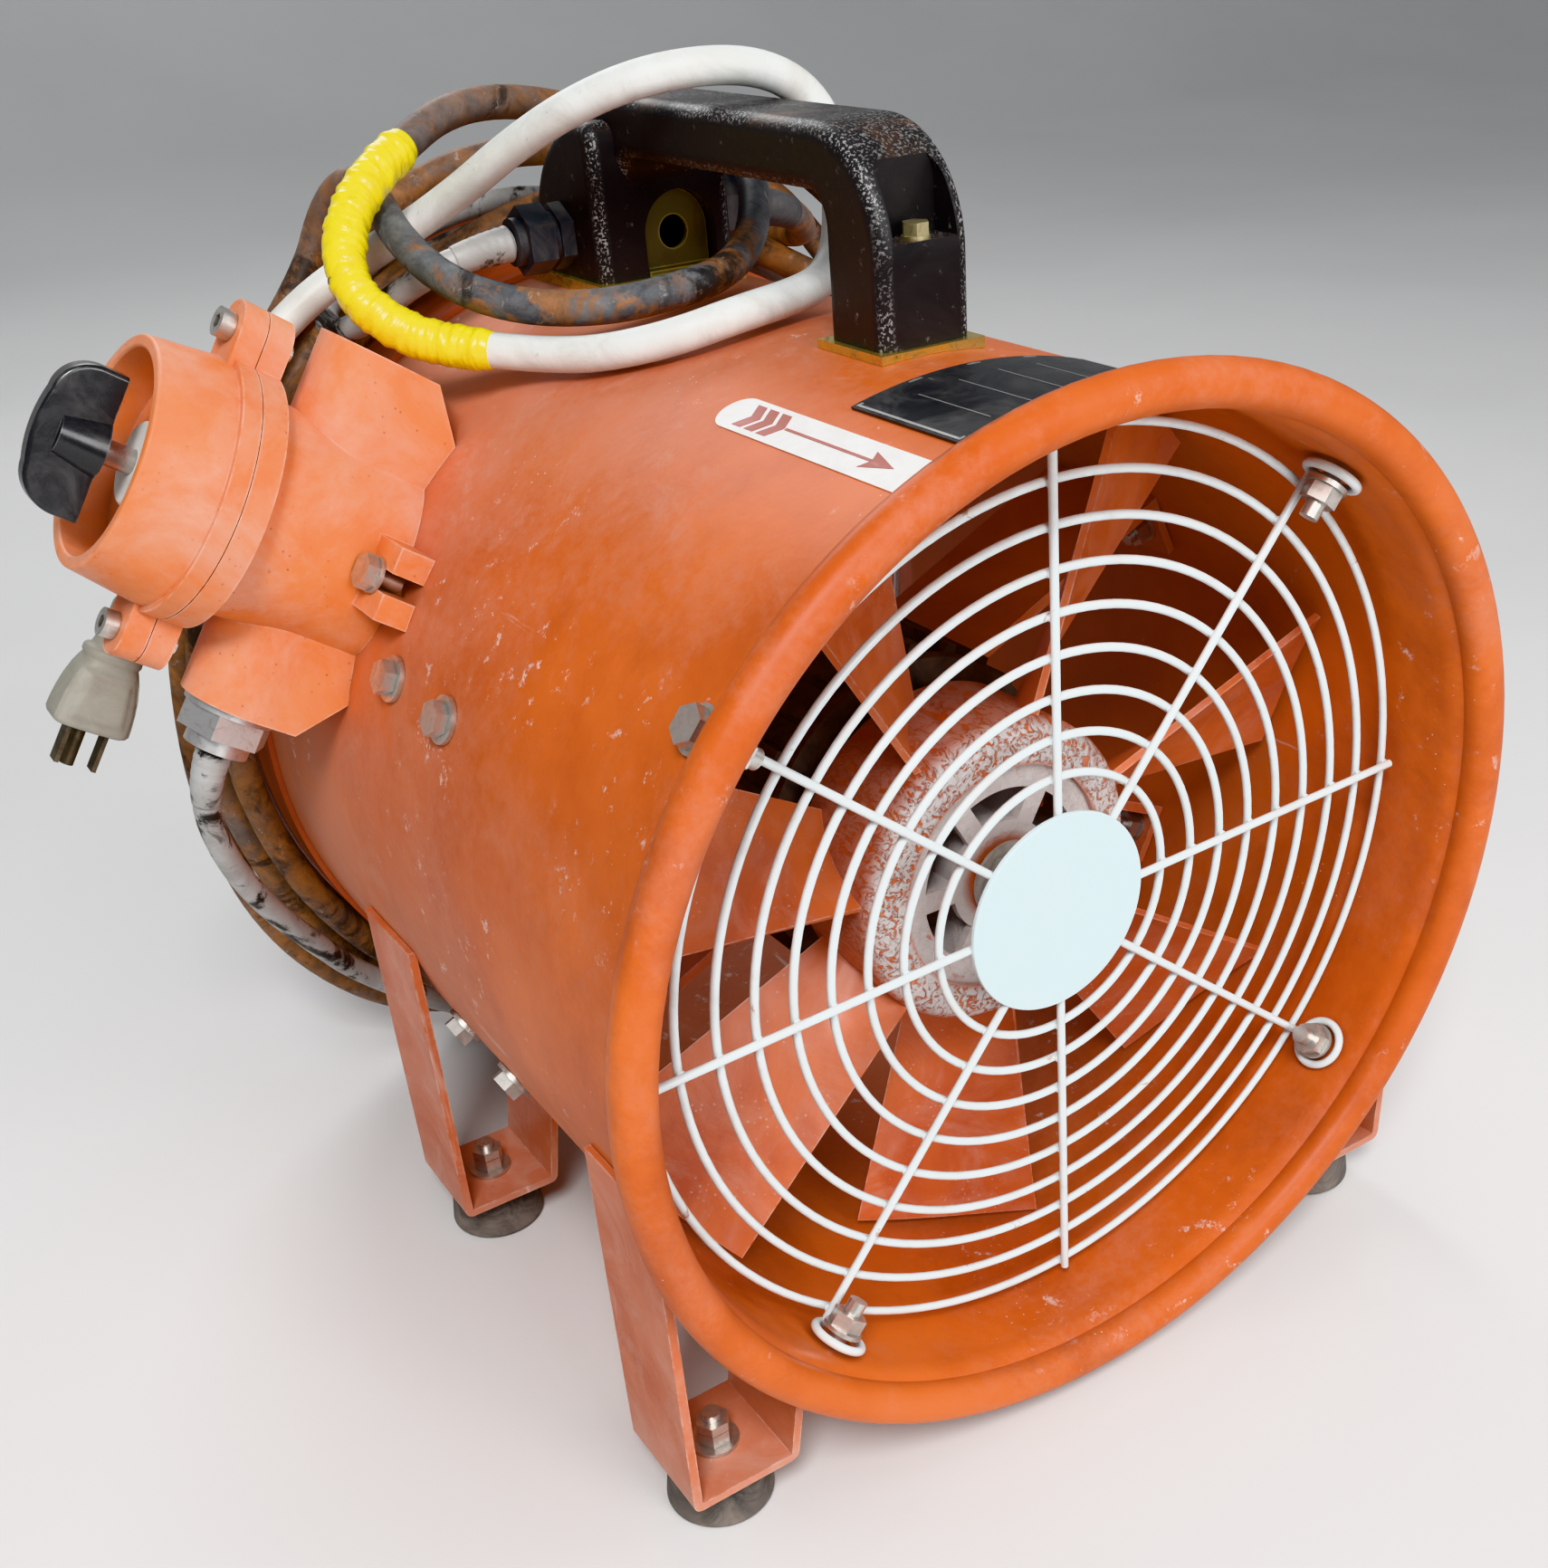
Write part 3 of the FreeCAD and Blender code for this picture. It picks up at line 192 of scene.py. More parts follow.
SUPPLY = (TAPE[3::-1] + BROWN[-2::-1] + wound(FIRST_TURNS) + LOOP + wound(LAST_TURNS) + TAIL)
LINK = LINK_TOP + wound(LINK_TURN) + LINK_SWITCH[::-1]
LEAD = TAPE[3:] + WHITE[1:]


# --------------------------------------------------------------- materials

class Finish:
    """A procedural material: one Principled shader and the nodes behind it."""

    def __init__(self, name, roughness=0.5, metallic=0.0, coat=0.0, specular=0.5):
        self.material = bpy.data.materials.new(name)
        self.material.use_nodes = True
        self.tree = self.material.node_tree
        self.shader = self.tree.nodes["Principled BSDF"]
        sockets = self.shader.inputs
        sockets["Roughness"].default_value = roughness
        sockets["Metallic"].default_value = metallic
        sockets["Coat Weight"].default_value = coat
        sockets["Coat Roughness"].default_value = 0.12
        sockets["Specular IOR Level"].default_value = specular
        self.where = self.tree.nodes.new("ShaderNodeTexCoord").outputs["Object"]

    def put(self, socket, value):
        if isinstance(value, bpy.types.NodeSocket):
            self.tree.links.new(value, socket)
        elif socket.type == "RGBA":
            socket.default_value = (*value, 1.0)
        else:
            socket.default_value = value

    def node(self, kind, inputs, output=0, **settings):
        node = self.tree.nodes.new("ShaderNode" + kind)
        for key, value in settings.items():
            setattr(node, key, value)
        for key, value in inputs.items():
            self.put(node.inputs[key], value)
        return node.outputs[output]

    def scaled(self, x, y, z):
        return self.node("Mapping", {"Vector": self.where, "Scale": (x, y, z)})

    def noise(self, scale, detail=3.0, roughness=0.55, warp=0.0, where=None):
        where = where or self.where
        return self.node("TexNoise", {"Vector": where, "Scale": scale, "Detail": detail,
                                      "Roughness": roughness, "Distortion": warp})

    def cells(self, scale, feature="F1"):
        return self.node("TexVoronoi", {"Vector": self.where, "Scale": scale},
                         feature=feature)

    def band(self, value, low, high, first=0.0, last=1.0):
        """Value mapped from low..high to first..last, held outside."""
        return self.node("MapRange", {"Value": value, "From Min": low, "From Max": high,
                                      "To Min": first, "To Max": last})

    def math(self, operation, a, b=0.0):
        return self.node("Math", {0: a, 1: b}, operation=operation)

    def times(self, *values):
        product = values[0]
        for value in values[1:]:
            product = self.math("MULTIPLY", product, value)
        return product

    def total(self, *values):
        result = values[0]
        for value in values[1:]:
            result = self.math("ADD", result, value)
        return self.band(result, 0.0, 1.0)

    def mix(self, amount, a, b):
        return self.node("Mix", {0: amount, 6: a, 7: b}, 2, data_type="RGBA")

    def place(self, axis):
        """Coordinate of the point along one of the axes, in metres."""
        return self.node("SeparateXYZ", {"Vector": self.where}, "XYZ".index(axis))

    def radius(self):
        """Distance from the fan axis, in metres."""
        dx = self.math("SUBTRACT", self.place("X"), AXIS.x)
        dz = self.math("SUBTRACT", self.place("Z"), AXIS.z)
        return self.math("SQRT", self.math("ADD", self.times(dx, dx), self.times(dz, dz)))

    def facing(self, axis):
        """How far the surface faces along an axis, in the piece's own frame."""
        normal = self.tree.nodes.new("ShaderNodeTexCoord").outputs["Normal"]
        return self.node("SeparateXYZ", {"Vector": normal}, "XYZ".index(axis))

    def edge(self, width, low=0.04, high=0.3):
        """1 on edges that are rounder than the given width, 0 on flats."""
        bevel = self.node("Bevel", {"Radius": width}, samples=6)
        normal = self.tree.nodes.new("ShaderNodeNewGeometry").outputs["Normal"]
        both = self.node("VectorMath", {0: bevel, 1: normal}, 1, operation="DOT_PRODUCT")
        return self.band(self.math("SUBTRACT", 1.0, both), low, high)

    def crevice(self, reach, low=0.9, high=0.35):
        """1 where other surfaces stand close, 0 in the open; the mask for painted shade."""
        open_sky = self.node("AmbientOcclusion", {"Distance": reach}, 1, samples=8)
        return self.band(open_sky, low, high)

    def bump(self, *heights):
        """Heights as (value, strength, distance in metres), fine ones last."""
        normal = None
        for height, strength, distance in heights:
            inputs = {"Height": height, "Strength": strength, "Distance": distance}
            if normal:
                inputs["Normal"] = normal
            normal = self.node("Bump", inputs)
        self.put(self.shader.inputs["Normal"], normal)

    def done(self, colour, roughness=None):
        self.put(self.shader.inputs["Base Color"], colour)
        if roughness:
            self.put(self.shader.inputs["Roughness"], roughness)
        return self.material


ORANGE = (0.68, 0.165, 0.042)
ORANGE_DEEP = (0.50, 0.098, 0.020)
BRICK = (0.30, 0.055, 0.020)
SALMON = (0.60, 0.235, 0.150)
DUST = (0.66, 0.46, 0.38)
PALE = (0.80, 0.76, 0.70)
SOOT = (0.022, 0.019, 0.017)


def drum_paint():
    """Sprayed orange, chalked and dusty towards the back; towards the top the chalk and dust are
    mixed with painted light from above.
    """
    f = Finish("drum_paint", specular=0.3)
    cloud = f.noise(6.0, 8.0, 0.66)
    patch = f.noise(17.0, 9.0, 0.70, 0.3)
    grain = f.noise(260.0, 6.0, 0.75)
    colour = f.mix(f.band(cloud, 0.40, 0.62), ORANGE, ORANGE_DEEP)
    behind = f.band(f.place("Y"), fan(0, 25, 0).y, fan(0, 215, 0).y)
    # above lightens the top of the drum: partly chalk and dust, partly painted light from above.
    above = f.band(f.place("Z"), fan(0, 0, 60).z, fan(0, 0, 158).z)
    chalk = f.total(f.times(behind, 0.72),
                    f.times(above, f.band(behind, 0.0, 0.7, 0.0, 1.0), 0.40),
                    f.band(patch, 0.36, 0.66, -0.30, 0.42), f.band(grain, 0.35, 0.65, -0.16, 0.16))
    colour = f.mix(f.times(chalk, 0.88), colour, SALMON)
    smear = f.band(f.noise(23.0, 9.0, 0.74, 0.6), 0.56, 0.74)
    dust = f.times(smear, f.band(f.math("ADD", behind, above), 0.15, 1.5, 0.04, 0.50))
    colour = f.mix(dust, colour, DUST)
    soil = f.band(f.noise(9.0, 9.0, 0.72, 0.4), 0.50, 0.72)
    grime = f.times(soil, f.band(behind, 0.0, 0.8, 0.62, 0.30))
    colour = f.mix(grime, colour, BRICK)
    rubs = f.times(f.band(f.noise(120.0, 7.0, 0.75), 0.60, 0.66),
                   f.band(f.noise(14.0, 3.0), 0.52, 0.62))
    scuffs = f.times(f.band(f.cells(330.0), 0.12, 0.06), f.band(f.noise(21.0, 3.0), 0.60, 0.68))
    streaks = f.band(f.noise(55.0, 6.0, 0.65, 0.2, f.scaled(1.0, 0.10, 1.0)), 0.655, 0.69)
    hairlines = f.times(streaks, f.band(f.noise(9.0), 0.46, 0.6), 0.5)
    marks = f.math("MAXIMUM", f.math("MAXIMUM", f.times(scuffs, 0.7), hairlines),
                   f.times(rubs, 0.6))
    colour = f.mix(marks, colour, PALE)
    # Painted shade: brick-dark paint wherever other surfaces stand within 12 mm.
    crevice_shade = f.times(f.crevice(0.012, 0.75, 0.25), 0.55)
    colour = f.mix(crevice_shade, colour, BRICK)
    rough = f.band(f.total(f.times(chalk, 0.55), dust, f.times(patch, 0.25)), 0.0, 1.0, 0.40, 0.72)
    f.bump((cloud, 0.35, 0.0014), (f.noise(420.0, 2.0), 0.35, 0.00014), (marks, -0.3, 0.0001))
    return f.done(colour, rough)


def shaded_rear_paint():
    """Same paint at the back, darker and redder as painted shade, with handling dirt."""
    f = Finish("shaded_rear_paint", coat=0.1)
    cloud = f.noise(9.0, 5.0, 0.6, 1.0)
    # Painted shade: darker, redder copies of the drum's orange for the shaded rear bell.
    colour = f.mix(f.band(cloud, 0.38, 0.64), (0.56, 0.125, 0.045), (0.40, 0.075, 0.030))
    colour = f.mix(f.band(f.noise(26.0, 6.0, 0.7, 2.0), 0.54, 0.74, 0.0, 0.55), colour, SALMON)
    colour = f.mix(f.band(f.noise(43.0, 6.0, 0.7, 1.0), 0.58, 0.72, 0.0, 0.5), colour, SOOT)
    chips = f.times(f.band(f.cells(260.0), 0.2, 0.08), f.band(f.noise(24.0, 3.0), 0.53, 0.63))
    colour = f.mix(f.times(chips, 0.7), colour, PALE)
    f.bump((cloud, 0.3, 0.0015), (f.noise(380.0, 2.0), 0.3, 0.00012))
    return f.done(colour, f.band(cloud, 0.3, 0.7, 0.34, 0.6))


def blade_paint():
    """Orange blades under dust, with paint knocked off the edges."""
    f = Finish("blade_paint", coat=0.08)
    cloud = f.noise(14.0, 5.0, 0.62, 1.2)
    film = f.noise(33.0, 6.0, 0.7, 1.8, f.scaled(1.0, 0.6, 1.0))
    colour = f.mix(f.band(cloud, 0.38, 0.66), (0.70, 0.180, 0.060), (0.52, 0.105, 0.038))
    colour = f.mix(f.band(film, 0.44, 0.74, 0.08, 0.62), colour, (0.66, 0.33, 0.25))
    specks = f.times(f.band(f.cells(420.0), 0.22, 0.08), f.band(f.noise(50.0, 3.0), 0.50, 0.60))
    worn = f.math("MAXIMUM", f.times(f.edge(0.0011), f.band(f.noise(160.0, 4.0, 0.7), 0.42, 0.52)),
                  f.times(specks, 0.6))
    colour = f.mix(f.times(worn, 0.8), colour, (0.72, 0.58, 0.50))
    f.bump((film, 0.25, 0.0006), (f.noise(500.0, 2.0), 0.25, 0.0001))
    return f.done(colour, f.band(film, 0.35, 0.75, 0.38, 0.68))


def hub_paint():
    """Hub with a ring of flaking silver paint round its cap."""
    f = Finish("hub_paint", coat=0.08)
    cloud = f.noise(16.0, 5.0, 0.62, 1.2)
    colour = f.mix(f.band(cloud, 0.38, 0.66), (0.66, 0.155, 0.045), (0.50, 0.095, 0.035))
    colour = f.mix(f.band(f.noise(37.0, 6.0, 0.7, 1.5), 0.46, 0.72, 0.0, 0.5), colour, DUST)
    out = f.radius()
    ring = f.times(f.band(out, 0.0375, 0.0395), f.band(out, 0.0530, 0.0500))
    shreds = f.noise(310.0, 5.0, 0.72, 1.6, f.scaled(1.0, 0.5, 1.0))
    inner = f.times(f.band(out, 0.0385, 0.0375), f.band(out, 0.012, 0.016), 0.95)
    flakes = f.math("MAXIMUM", f.times(ring, f.band(shreds, 0.43, 0.49)),
                    f.times(inner, f.band(f.noise(60.0, 6.0, 0.7, 1.0), 0.30, 0.42)))
    colour = f.mix(f.times(flakes, 0.94), colour, (0.70, 0.68, 0.67))
    f.bump((shreds, 0.8, 0.0009), (flakes, 0.5, 0.0003), (f.noise(480.0, 2.0), 0.25, 0.0001))
    return f.done(colour, f.band(flakes, 0.0, 1.0, 0.5, 0.28))


def cast_paint():
    """Thick paint on a sand-cast switch, chalky on the corners."""
    f = Finish("cast_paint", coat=0.05)
    cloud = f.noise(17.0, 5.0, 0.6, 1.0)
    colour = f.mix(f.band(cloud, 0.36, 0.66), (0.83, 0.265, 0.085), (0.75, 0.200, 0.058))
    chalk = f.band(f.noise(24.0, 9.0, 0.74, 0.5), 0.42, 0.66, 0.0, 0.72)
    colour = f.mix(chalk, colour, (0.74, 0.40, 0.29))
    up = f.times(f.band(f.facing("Z"), 0.2, 0.9),
                 f.band(f.noise(40.0, 8.0, 0.72), 0.40, 0.62), 0.45)
    colour = f.mix(up, colour, (0.76, 0.46, 0.36))
    pores = f.times(f.band(f.cells(300.0), 0.17, 0.08), f.band(f.noise(38.0, 3.0), 0.46, 0.6))
    worn = f.times(f.edge(0.0016), f.band(f.noise(110.0, 5.0, 0.7), 0.42, 0.56), 0.65)
    colour = f.mix(worn, colour, (0.86, 0.66, 0.58))
    colour = f.mix(f.times(pores, 0.6), colour, BRICK)
    # Painted shade: darker red-brown where other surfaces stand within 10 mm.
    colour = f.mix(f.times(f.crevice(0.010, 0.7, 0.2), 0.5), colour, (0.22, 0.06, 0.03))
    f.bump((cloud, 0.3, 0.0012), (f.noise(190.0, 4.0), 0.3, 0.0004), (pores, -0.5, 0.0003))
    return f.done(colour, f.band(cloud, 0.3, 0.7, 0.40, 0.58))


def leg_paint():
    f = Finish("leg_paint", coat=0.08)
    cloud = f.noise(15.0, 5.0, 0.62, 1.0)
    colour = f.mix(f.band(cloud, 0.38, 0.66), (0.60, 0.165, 0.070), (0.50, 0.115, 0.045))
    low = f.band(f.place("Z"), 0.045, 0.018)
    dust = f.total(f.band(f.noise(34.0, 6.0, 0.7, 1.5), 0.48, 0.74, 0.0, 0.42), f.times(low, 0.35))
    colour = f.mix(dust, colour, (0.62, 0.38, 0.30))
    worn = f.times(f.edge(0.0013), f.band(f.noise(90.0, 5.0, 0.7), 0.46, 0.56), 0.8)
    colour = f.mix(worn, colour, (0.70, 0.56, 0.48))
    scratches = f.band(f.noise(60.0, 4.0, 0.6, 0.5, f.scaled(1.0, 1.0, 0.12)), 0.66, 0.70)
    colour = f.mix(f.times(scratches, 0.4), colour, PALE)
    f.bump((cloud, 0.3, 0.001), (f.noise(420.0, 2.0), 0.3, 0.00012))
    return f.done(colour, f.band(cloud, 0.3, 0.7, 0.40, 0.62))


def guard_paint():
    """Pale dipped coat, grey where dust sits and rusty at some joints."""
    f = Finish("guard_paint", roughness=0.34, coat=0.2)
    dirt = f.noise(42.0, 5.0, 0.65, 0.8)
    colour = f.mix(f.band(dirt, 0.46, 0.74, 0.0, 0.55), (0.70, 0.77, 0.78), (0.50, 0.49, 0.46))
    rust = f.times(f.band(f.noise(75.0, 5.0, 0.7, 1.0), 0.665, 0.71), 0.75)
    colour = f.mix(rust, colour, (0.36, 0.15, 0.07))
    f.bump((f.noise(260.0, 3.0), 0.25, 0.0002))
    return f.done(colour, f.band(dirt, 0.3, 0.75, 0.28, 0.5))


def disc_paint():
    """Pale blue-white cap in the middle of the guard."""
    f = Finish("disc_paint", coat=0.15)
    dirt = f.noise(30.0, 6.0, 0.7, 1.2)
    colour = f.mix(f.band(dirt, 0.40, 0.8, 0.0, 0.30), (0.66, 0.80, 0.83), (0.56, 0.63, 0.64))
    specks = f.times(f.band(f.cells(500.0), 0.18, 0.07), f.band(f.noise(70.0, 2.0), 0.55, 0.62))
    colour = f.mix(f.times(specks, 0.55), colour, (0.33, 0.22, 0.16))
    f.bump((f.noise(300.0, 2.0), 0.2, 0.00012), (f.noise(12.0), 0.2, 0.001))
    return f.done(colour, f.band(dirt, 0.3, 0.75, 0.36, 0.5))


def pebbled(name, base, dusty, pebble=760.0, depth=0.00035, scuff=0.0):
    """Moulded plastic with a pebble skin, some dust, and glints painted on the pebble tips at its
    corners and top.
    """
    f = Finish(name, specular=0.35)
    grain = f.cells(pebble, "SMOOTH_F1")
    dirt = f.noise(24.0, 6.0, 0.7, 1.4)
    colour = f.mix(f.band(dirt, 0.44, 0.78, 0.0, 0.30), base, dusty)
    # Painted highlights: pale specks on the pebble tips along the side corners and the top stand
    # in for glints.
    side = f.math("ABSOLUTE", f.facing("X"))
    corner = f.times(f.band(side, 0.10, 0.35), f.band(side, 0.97, 0.80))
    above = f.times(f.band(f.facing("Z"), 0.5, 0.9), 0.60)
    tips = f.times(f.band(f.noise(1100.0, 2.0, 0.6), 0.53, 0.60), f.math("MAXIMUM", corner, above))
    painted_glints = f.times(tips, f.band(f.noise(45.0, 6.0, 0.7), 0.36, 0.56))
    colour = f.mix(f.times(painted_glints, 0.75), colour, (0.42, 0.41, 0.40))
    chalk = f.band(f.noise(210.0, 6.0, 0.75), 0.62, 0.70, 0.0, 0.5)
    colour = f.mix(chalk, colour, (0.34, 0.32, 0.30))
    if scuff:
        brown = f.times(f.band(f.noise(16.0, 5.0, 0.7, 1.0), 0.50, 0.66),
                        f.band(f.facing("Z"), 0.3, 0.9), scuff)
        colour = f.mix(brown, colour, (0.17, 0.085, 0.045))
    f.bump((dirt, 0.15, 0.001), (grain, -0.85, depth))
    return f.done(colour, f.band(dirt, 0.35, 0.75, 0.36, 0.60))


def zinc_plate(name, soil):
    """Yellow passivated zinc: gold with green and red in it, and grime."""
    f = Finish(name, metallic=0.85)
    hue = f.noise(38.0, 4.0, 0.6, 2.0)
    colour = f.mix(f.band(hue, 0.40, 0.60), (0.80, 0.58, 0.17), (0.62, 0.56, 0.24))
    red = f.band(f.noise(61.0, 4.0, 0.6, 2.0), 0.56, 0.70, 0.0, 0.6)
    colour = f.mix(red, colour, (0.66, 0.35, 0.22))
    dirt = f.band(f.noise(85.0, 6.0, 0.72, 1.0), 0.56 - soil, 0.70 - soil)
    rim = f.edge(0.0012, 0.03, 0.2)
    colour = f.mix(f.times(dirt, f.band(rim, 0.0, 1.0, 0.88, 0.2)), colour, (0.075, 0.060, 0.040))
    f.bump((f.noise(300.0, 4.0), 0.3, 0.0002))
    return f.done(colour, f.band(dirt, 0.0, 1.0, 0.26, 0.60))


def bare_metal(name, base, tint, rust, shine=0.30, metallic=0.9):
    f = Finish(name, metallic=metallic)
    cloud = f.noise(120.0, 5.0, 0.65, 1.0)
    colour = f.mix(f.band(cloud, 0.35, 0.68), base, tint)
    spots = f.times(f.band(f.noise(230.0, 5.0, 0.7, 0.8), 0.55, 0.66), rust)
    colour = f.mix(spots, colour, (0.24, 0.12, 0.06))
    # Painted shade: near-black where other surfaces stand within 4 mm.
    colour = f.mix(f.times(f.crevice(0.004, 0.7, 0.2), 0.6), colour, (0.10, 0.07, 0.05))
    f.bump((f.noise(700.0, 3.0), 0.25, 0.00008), (cloud, 0.2, 0.0002))
    return f.done(colour, f.band(cloud, 0.3, 0.7, shine, shine + 0.22))


def motor_paint():
    f = Finish("motor_paint")
    dirt = f.noise(35.0, 6.0, 0.7, 1.2)
    colour = f.mix(f.band(dirt, 0.38, 0.72), (0.030, 0.030, 0.032), (0.16, 0.115, 0.09))
    f.bump((f.noise(240.0, 4.0), 0.35, 0.0003), (dirt, 0.2, 0.0006))
    return f.done(colour, f.band(dirt, 0.3, 0.7, 0.48, 0.75))


def winding_copper():
    f = Finish("winding_copper", metallic=0.8)
    strands = f.node("TexWave", {"Vector": f.where, "Scale": 260.0,
                                 "Distortion": 1.5, "Detail": 2.0})
    colour = f.mix(strands, (0.55, 0.24, 0.10), (0.30, 0.11, 0.05))
    f.bump((strands, 0.6, 0.0005))
    return f.done(colour, f.band(f.noise(90.0), 0.3, 0.7, 0.32, 0.55))


def knob_plastic():
    """Black phenolic, still shiny, with fine scratches and dust."""
    f = Finish("knob_plastic", coat=0.3, specular=0.6)
    dirt = f.noise(46.0, 6.0, 0.7, 1.4)
    colour = f.mix(f.band(dirt, 0.48, 0.76, 0.0, 0.35), (0.017, 0.017, 0.019), (0.15, 0.14, 0.135))
    scratch = f.band(f.noise(95.0, 4.0, 0.6, 0.6, f.scaled(1.0, 0.15, 0.4)), 0.66, 0.70)
    worn = f.times(f.edge(0.0009), f.band(f.noise(170.0, 4.0), 0.45, 0.6))
    marks = f.math("MAXIMUM", f.times(scratch, 0.35), f.times(worn, 0.55))
    colour = f.mix(marks, colour, (0.34, 0.34, 0.35))
    f.bump((f.noise(60.0, 3.0), 0.25, 0.0007), (f.noise(600.0, 2.0), 0.2, 0.00008))
    return f.done(colour, f.band(dirt, 0.35, 0.75, 0.20, 0.46))


def smooth_plastic(name, base, dusty, shine=0.42, dust=0.5):
    f = Finish(name)
    dirt = f.noise(58.0, 6.0, 0.7, 1.3)
    colour = f.mix(f.band(dirt, 0.42, 0.74, 0.0, dust), base, dusty)
    worn = f.times(f.edge(0.0010), f.band(f.noise(140.0, 4.0), 0.44, 0.58), 0.6)
    colour = f.mix(worn, colour, tuple(min(1.0, 2.2 * c + 0.05) for c in base))
    f.bump((f.noise(170.0, 4.0), 0.25, 0.0002), (f.noise(900.0, 2.0), 0.2, 0.00006))
    return f.done(colour, f.band(dirt, 0.35, 0.75, shine, shine + 0.24))


def foot_rubber():
    f = Finish("foot_rubber", specular=0.35)
    dirt = f.noise(60.0, 6.0, 0.72, 1.2)
    low = f.band(f.place("Z"), 0.014, 0.001)
    colour = f.mix(f.total(f.band(dirt, 0.38, 0.70, 0.0, 0.6), f.times(low, 0.35)),
                   (0.045, 0.043, 0.042), (0.30, 0.25, 0.215))
    f.bump((f.noise(330.0, 5.0, 0.7), 0.5, 0.0004), (dirt, 0.3, 0.0008))
    return f.done(colour, f.band(dirt, 0.3, 0.7, 0.62, 0.85))


def soiled_rubber():
    """Grey supply cord: brown soil in the coil, black and rust smears."""
    f = Finish("soiled_rubber", specular=0.4)
    grey = f.mix(f.band(f.noise(60.0, 8.0, 0.72, 0.5), 0.36, 0.66),
                 (0.060, 0.064, 0.072), (0.190, 0.195, 0.20))
    coiled = f.band(f.place("Y"), fan(0, 236, 0).y, fan(0, 272, 0).y)
    soil = f.noise(33.0, 9.0, 0.74, 0.7)
    brown = f.mix(f.band(f.noise(110.0, 7.0, 0.72, 0.5), 0.36, 0.62),
                  (0.38, 0.165, 0.060), (0.17, 0.090, 0.050))
    amount = f.total(f.band(soil, 0.53, 0.60, 0.0, 0.9),
                     f.times(coiled, f.band(soil, 0.34, 0.50, 0.25, 0.85)))
    colour = f.mix(amount, grey, brown)
    smear = f.band(f.noise(26.0, 9.0, 0.74, 0.8), 0.54, 0.62, 0.0, 0.85)
    colour = f.mix(smear, colour, SOOT)
    pale = f.times(f.band(f.noise(150.0, 7.0, 0.76, 0.5), 0.60, 0.66), 0.5)
    colour = f.mix(pale, colour, (0.50, 0.45, 0.40))
    f.bump((f.noise(120.0, 7.0, 0.74), 0.5, 0.0006), (smear, 0.3, 0.0002))
    return f.done(colour, f.band(soil, 0.3, 0.7, 0.44, 0.72))


def sheathed(name, base, dusty, black=0.0, shine=0.38):
    """Smooth PVC cord with finger dirt and, if asked for, black smears."""
    f = Finish(name)
    dirt = f.noise(31.0, 6.0, 0.7, 1.6)
    colour = f.mix(f.band(dirt, 0.42, 0.70, 0.0, 0.55), base, dusty)
    if black:
        colour = f.mix(f.band(f.noise(23.0, 6.0, 0.72, 2.2), 0.52, 0.60, 0.0, black), colour, SOOT)
    nicks = f.band(f.noise(190.0, 5.0, 0.7, 0.8), 0.66, 0.71, 0.0, 0.5)
    colour = f.mix(nicks, colour, (0.20, 0.16, 0.13))
    f.bump((f.noise(75.0, 4.0), 0.35, 0.0005), (f.noise(420.0, 2.0), 0.15, 0.0001))
    return f.done(colour, f.band(dirt, 0.35, 0.72, shine, shine + 0.2))


def vinyl_tape():
    f = Finish("vinyl_tape", coat=0.25)
    dirt = f.noise(85.0, 6.0, 0.7, 1.5)
    colour = f.mix(f.band(dirt, 0.42, 0.72, 0.0, 0.6), (0.88, 0.74, 0.012), (0.66, 0.50, 0.015))
    spots = f.band(f.noise(160.0, 6.0, 0.7), 0.62, 0.70, 0.0, 0.4)
    colour = f.mix(spots, colour, (0.30, 0.22, 0.05))
    # Painted shade: darker yellow in the creases of the wrap.
    colour = f.mix(f.times(f.crevice(0.0015, 0.7, 0.2), 0.4), colour, (0.45, 0.31, 0.01))
    f.bump((f.noise(170.0, 4.0, 0.6, 1.5), 0.45, 0.0006), (f.noise(700.0, 2.0), 0.15, 0.0001))
    return f.done(colour, f.band(dirt, 0.35, 0.7, 0.24, 0.42))


def label_stock(name, base, dusty, shine=0.35, metallic=0.0):
    f = Finish(name, metallic=metallic)
    dirt = f.noise(48.0, 6.0, 0.7, 1.5)
    colour = f.mix(f.band(dirt, 0.42, 0.74, 0.0, 0.5), base, dusty)
    scratch = f.band(f.noise(80.0, 4.0, 0.6, 0.5, f.scaled(1.0, 0.2, 0.5)), 0.65, 0.69, 0.0, 0.5)
    colour = f.mix(scratch, colour, (0.62, 0.58, 0.54))
    f.bump((f.noise(40.0, 3.0), 0.25, 0.0006), (f.noise(500.0, 2.0), 0.15, 0.00008))
    return f.done(colour, f.band(dirt, 0.35, 0.72, shine, shine + 0.22))


def floor_card():
    """Pale matt studio floor."""
    f = Finish("floor_card", specular=0.3)
    colour = f.mix(f.band(f.noise(2.5, 3.0), 0.35, 0.65), (0.74, 0.74, 0.735), (0.77, 0.77, 0.765))
    return f.done(colour, f.band(f.noise(30.0), 0.3, 0.7, 0.62, 0.72))


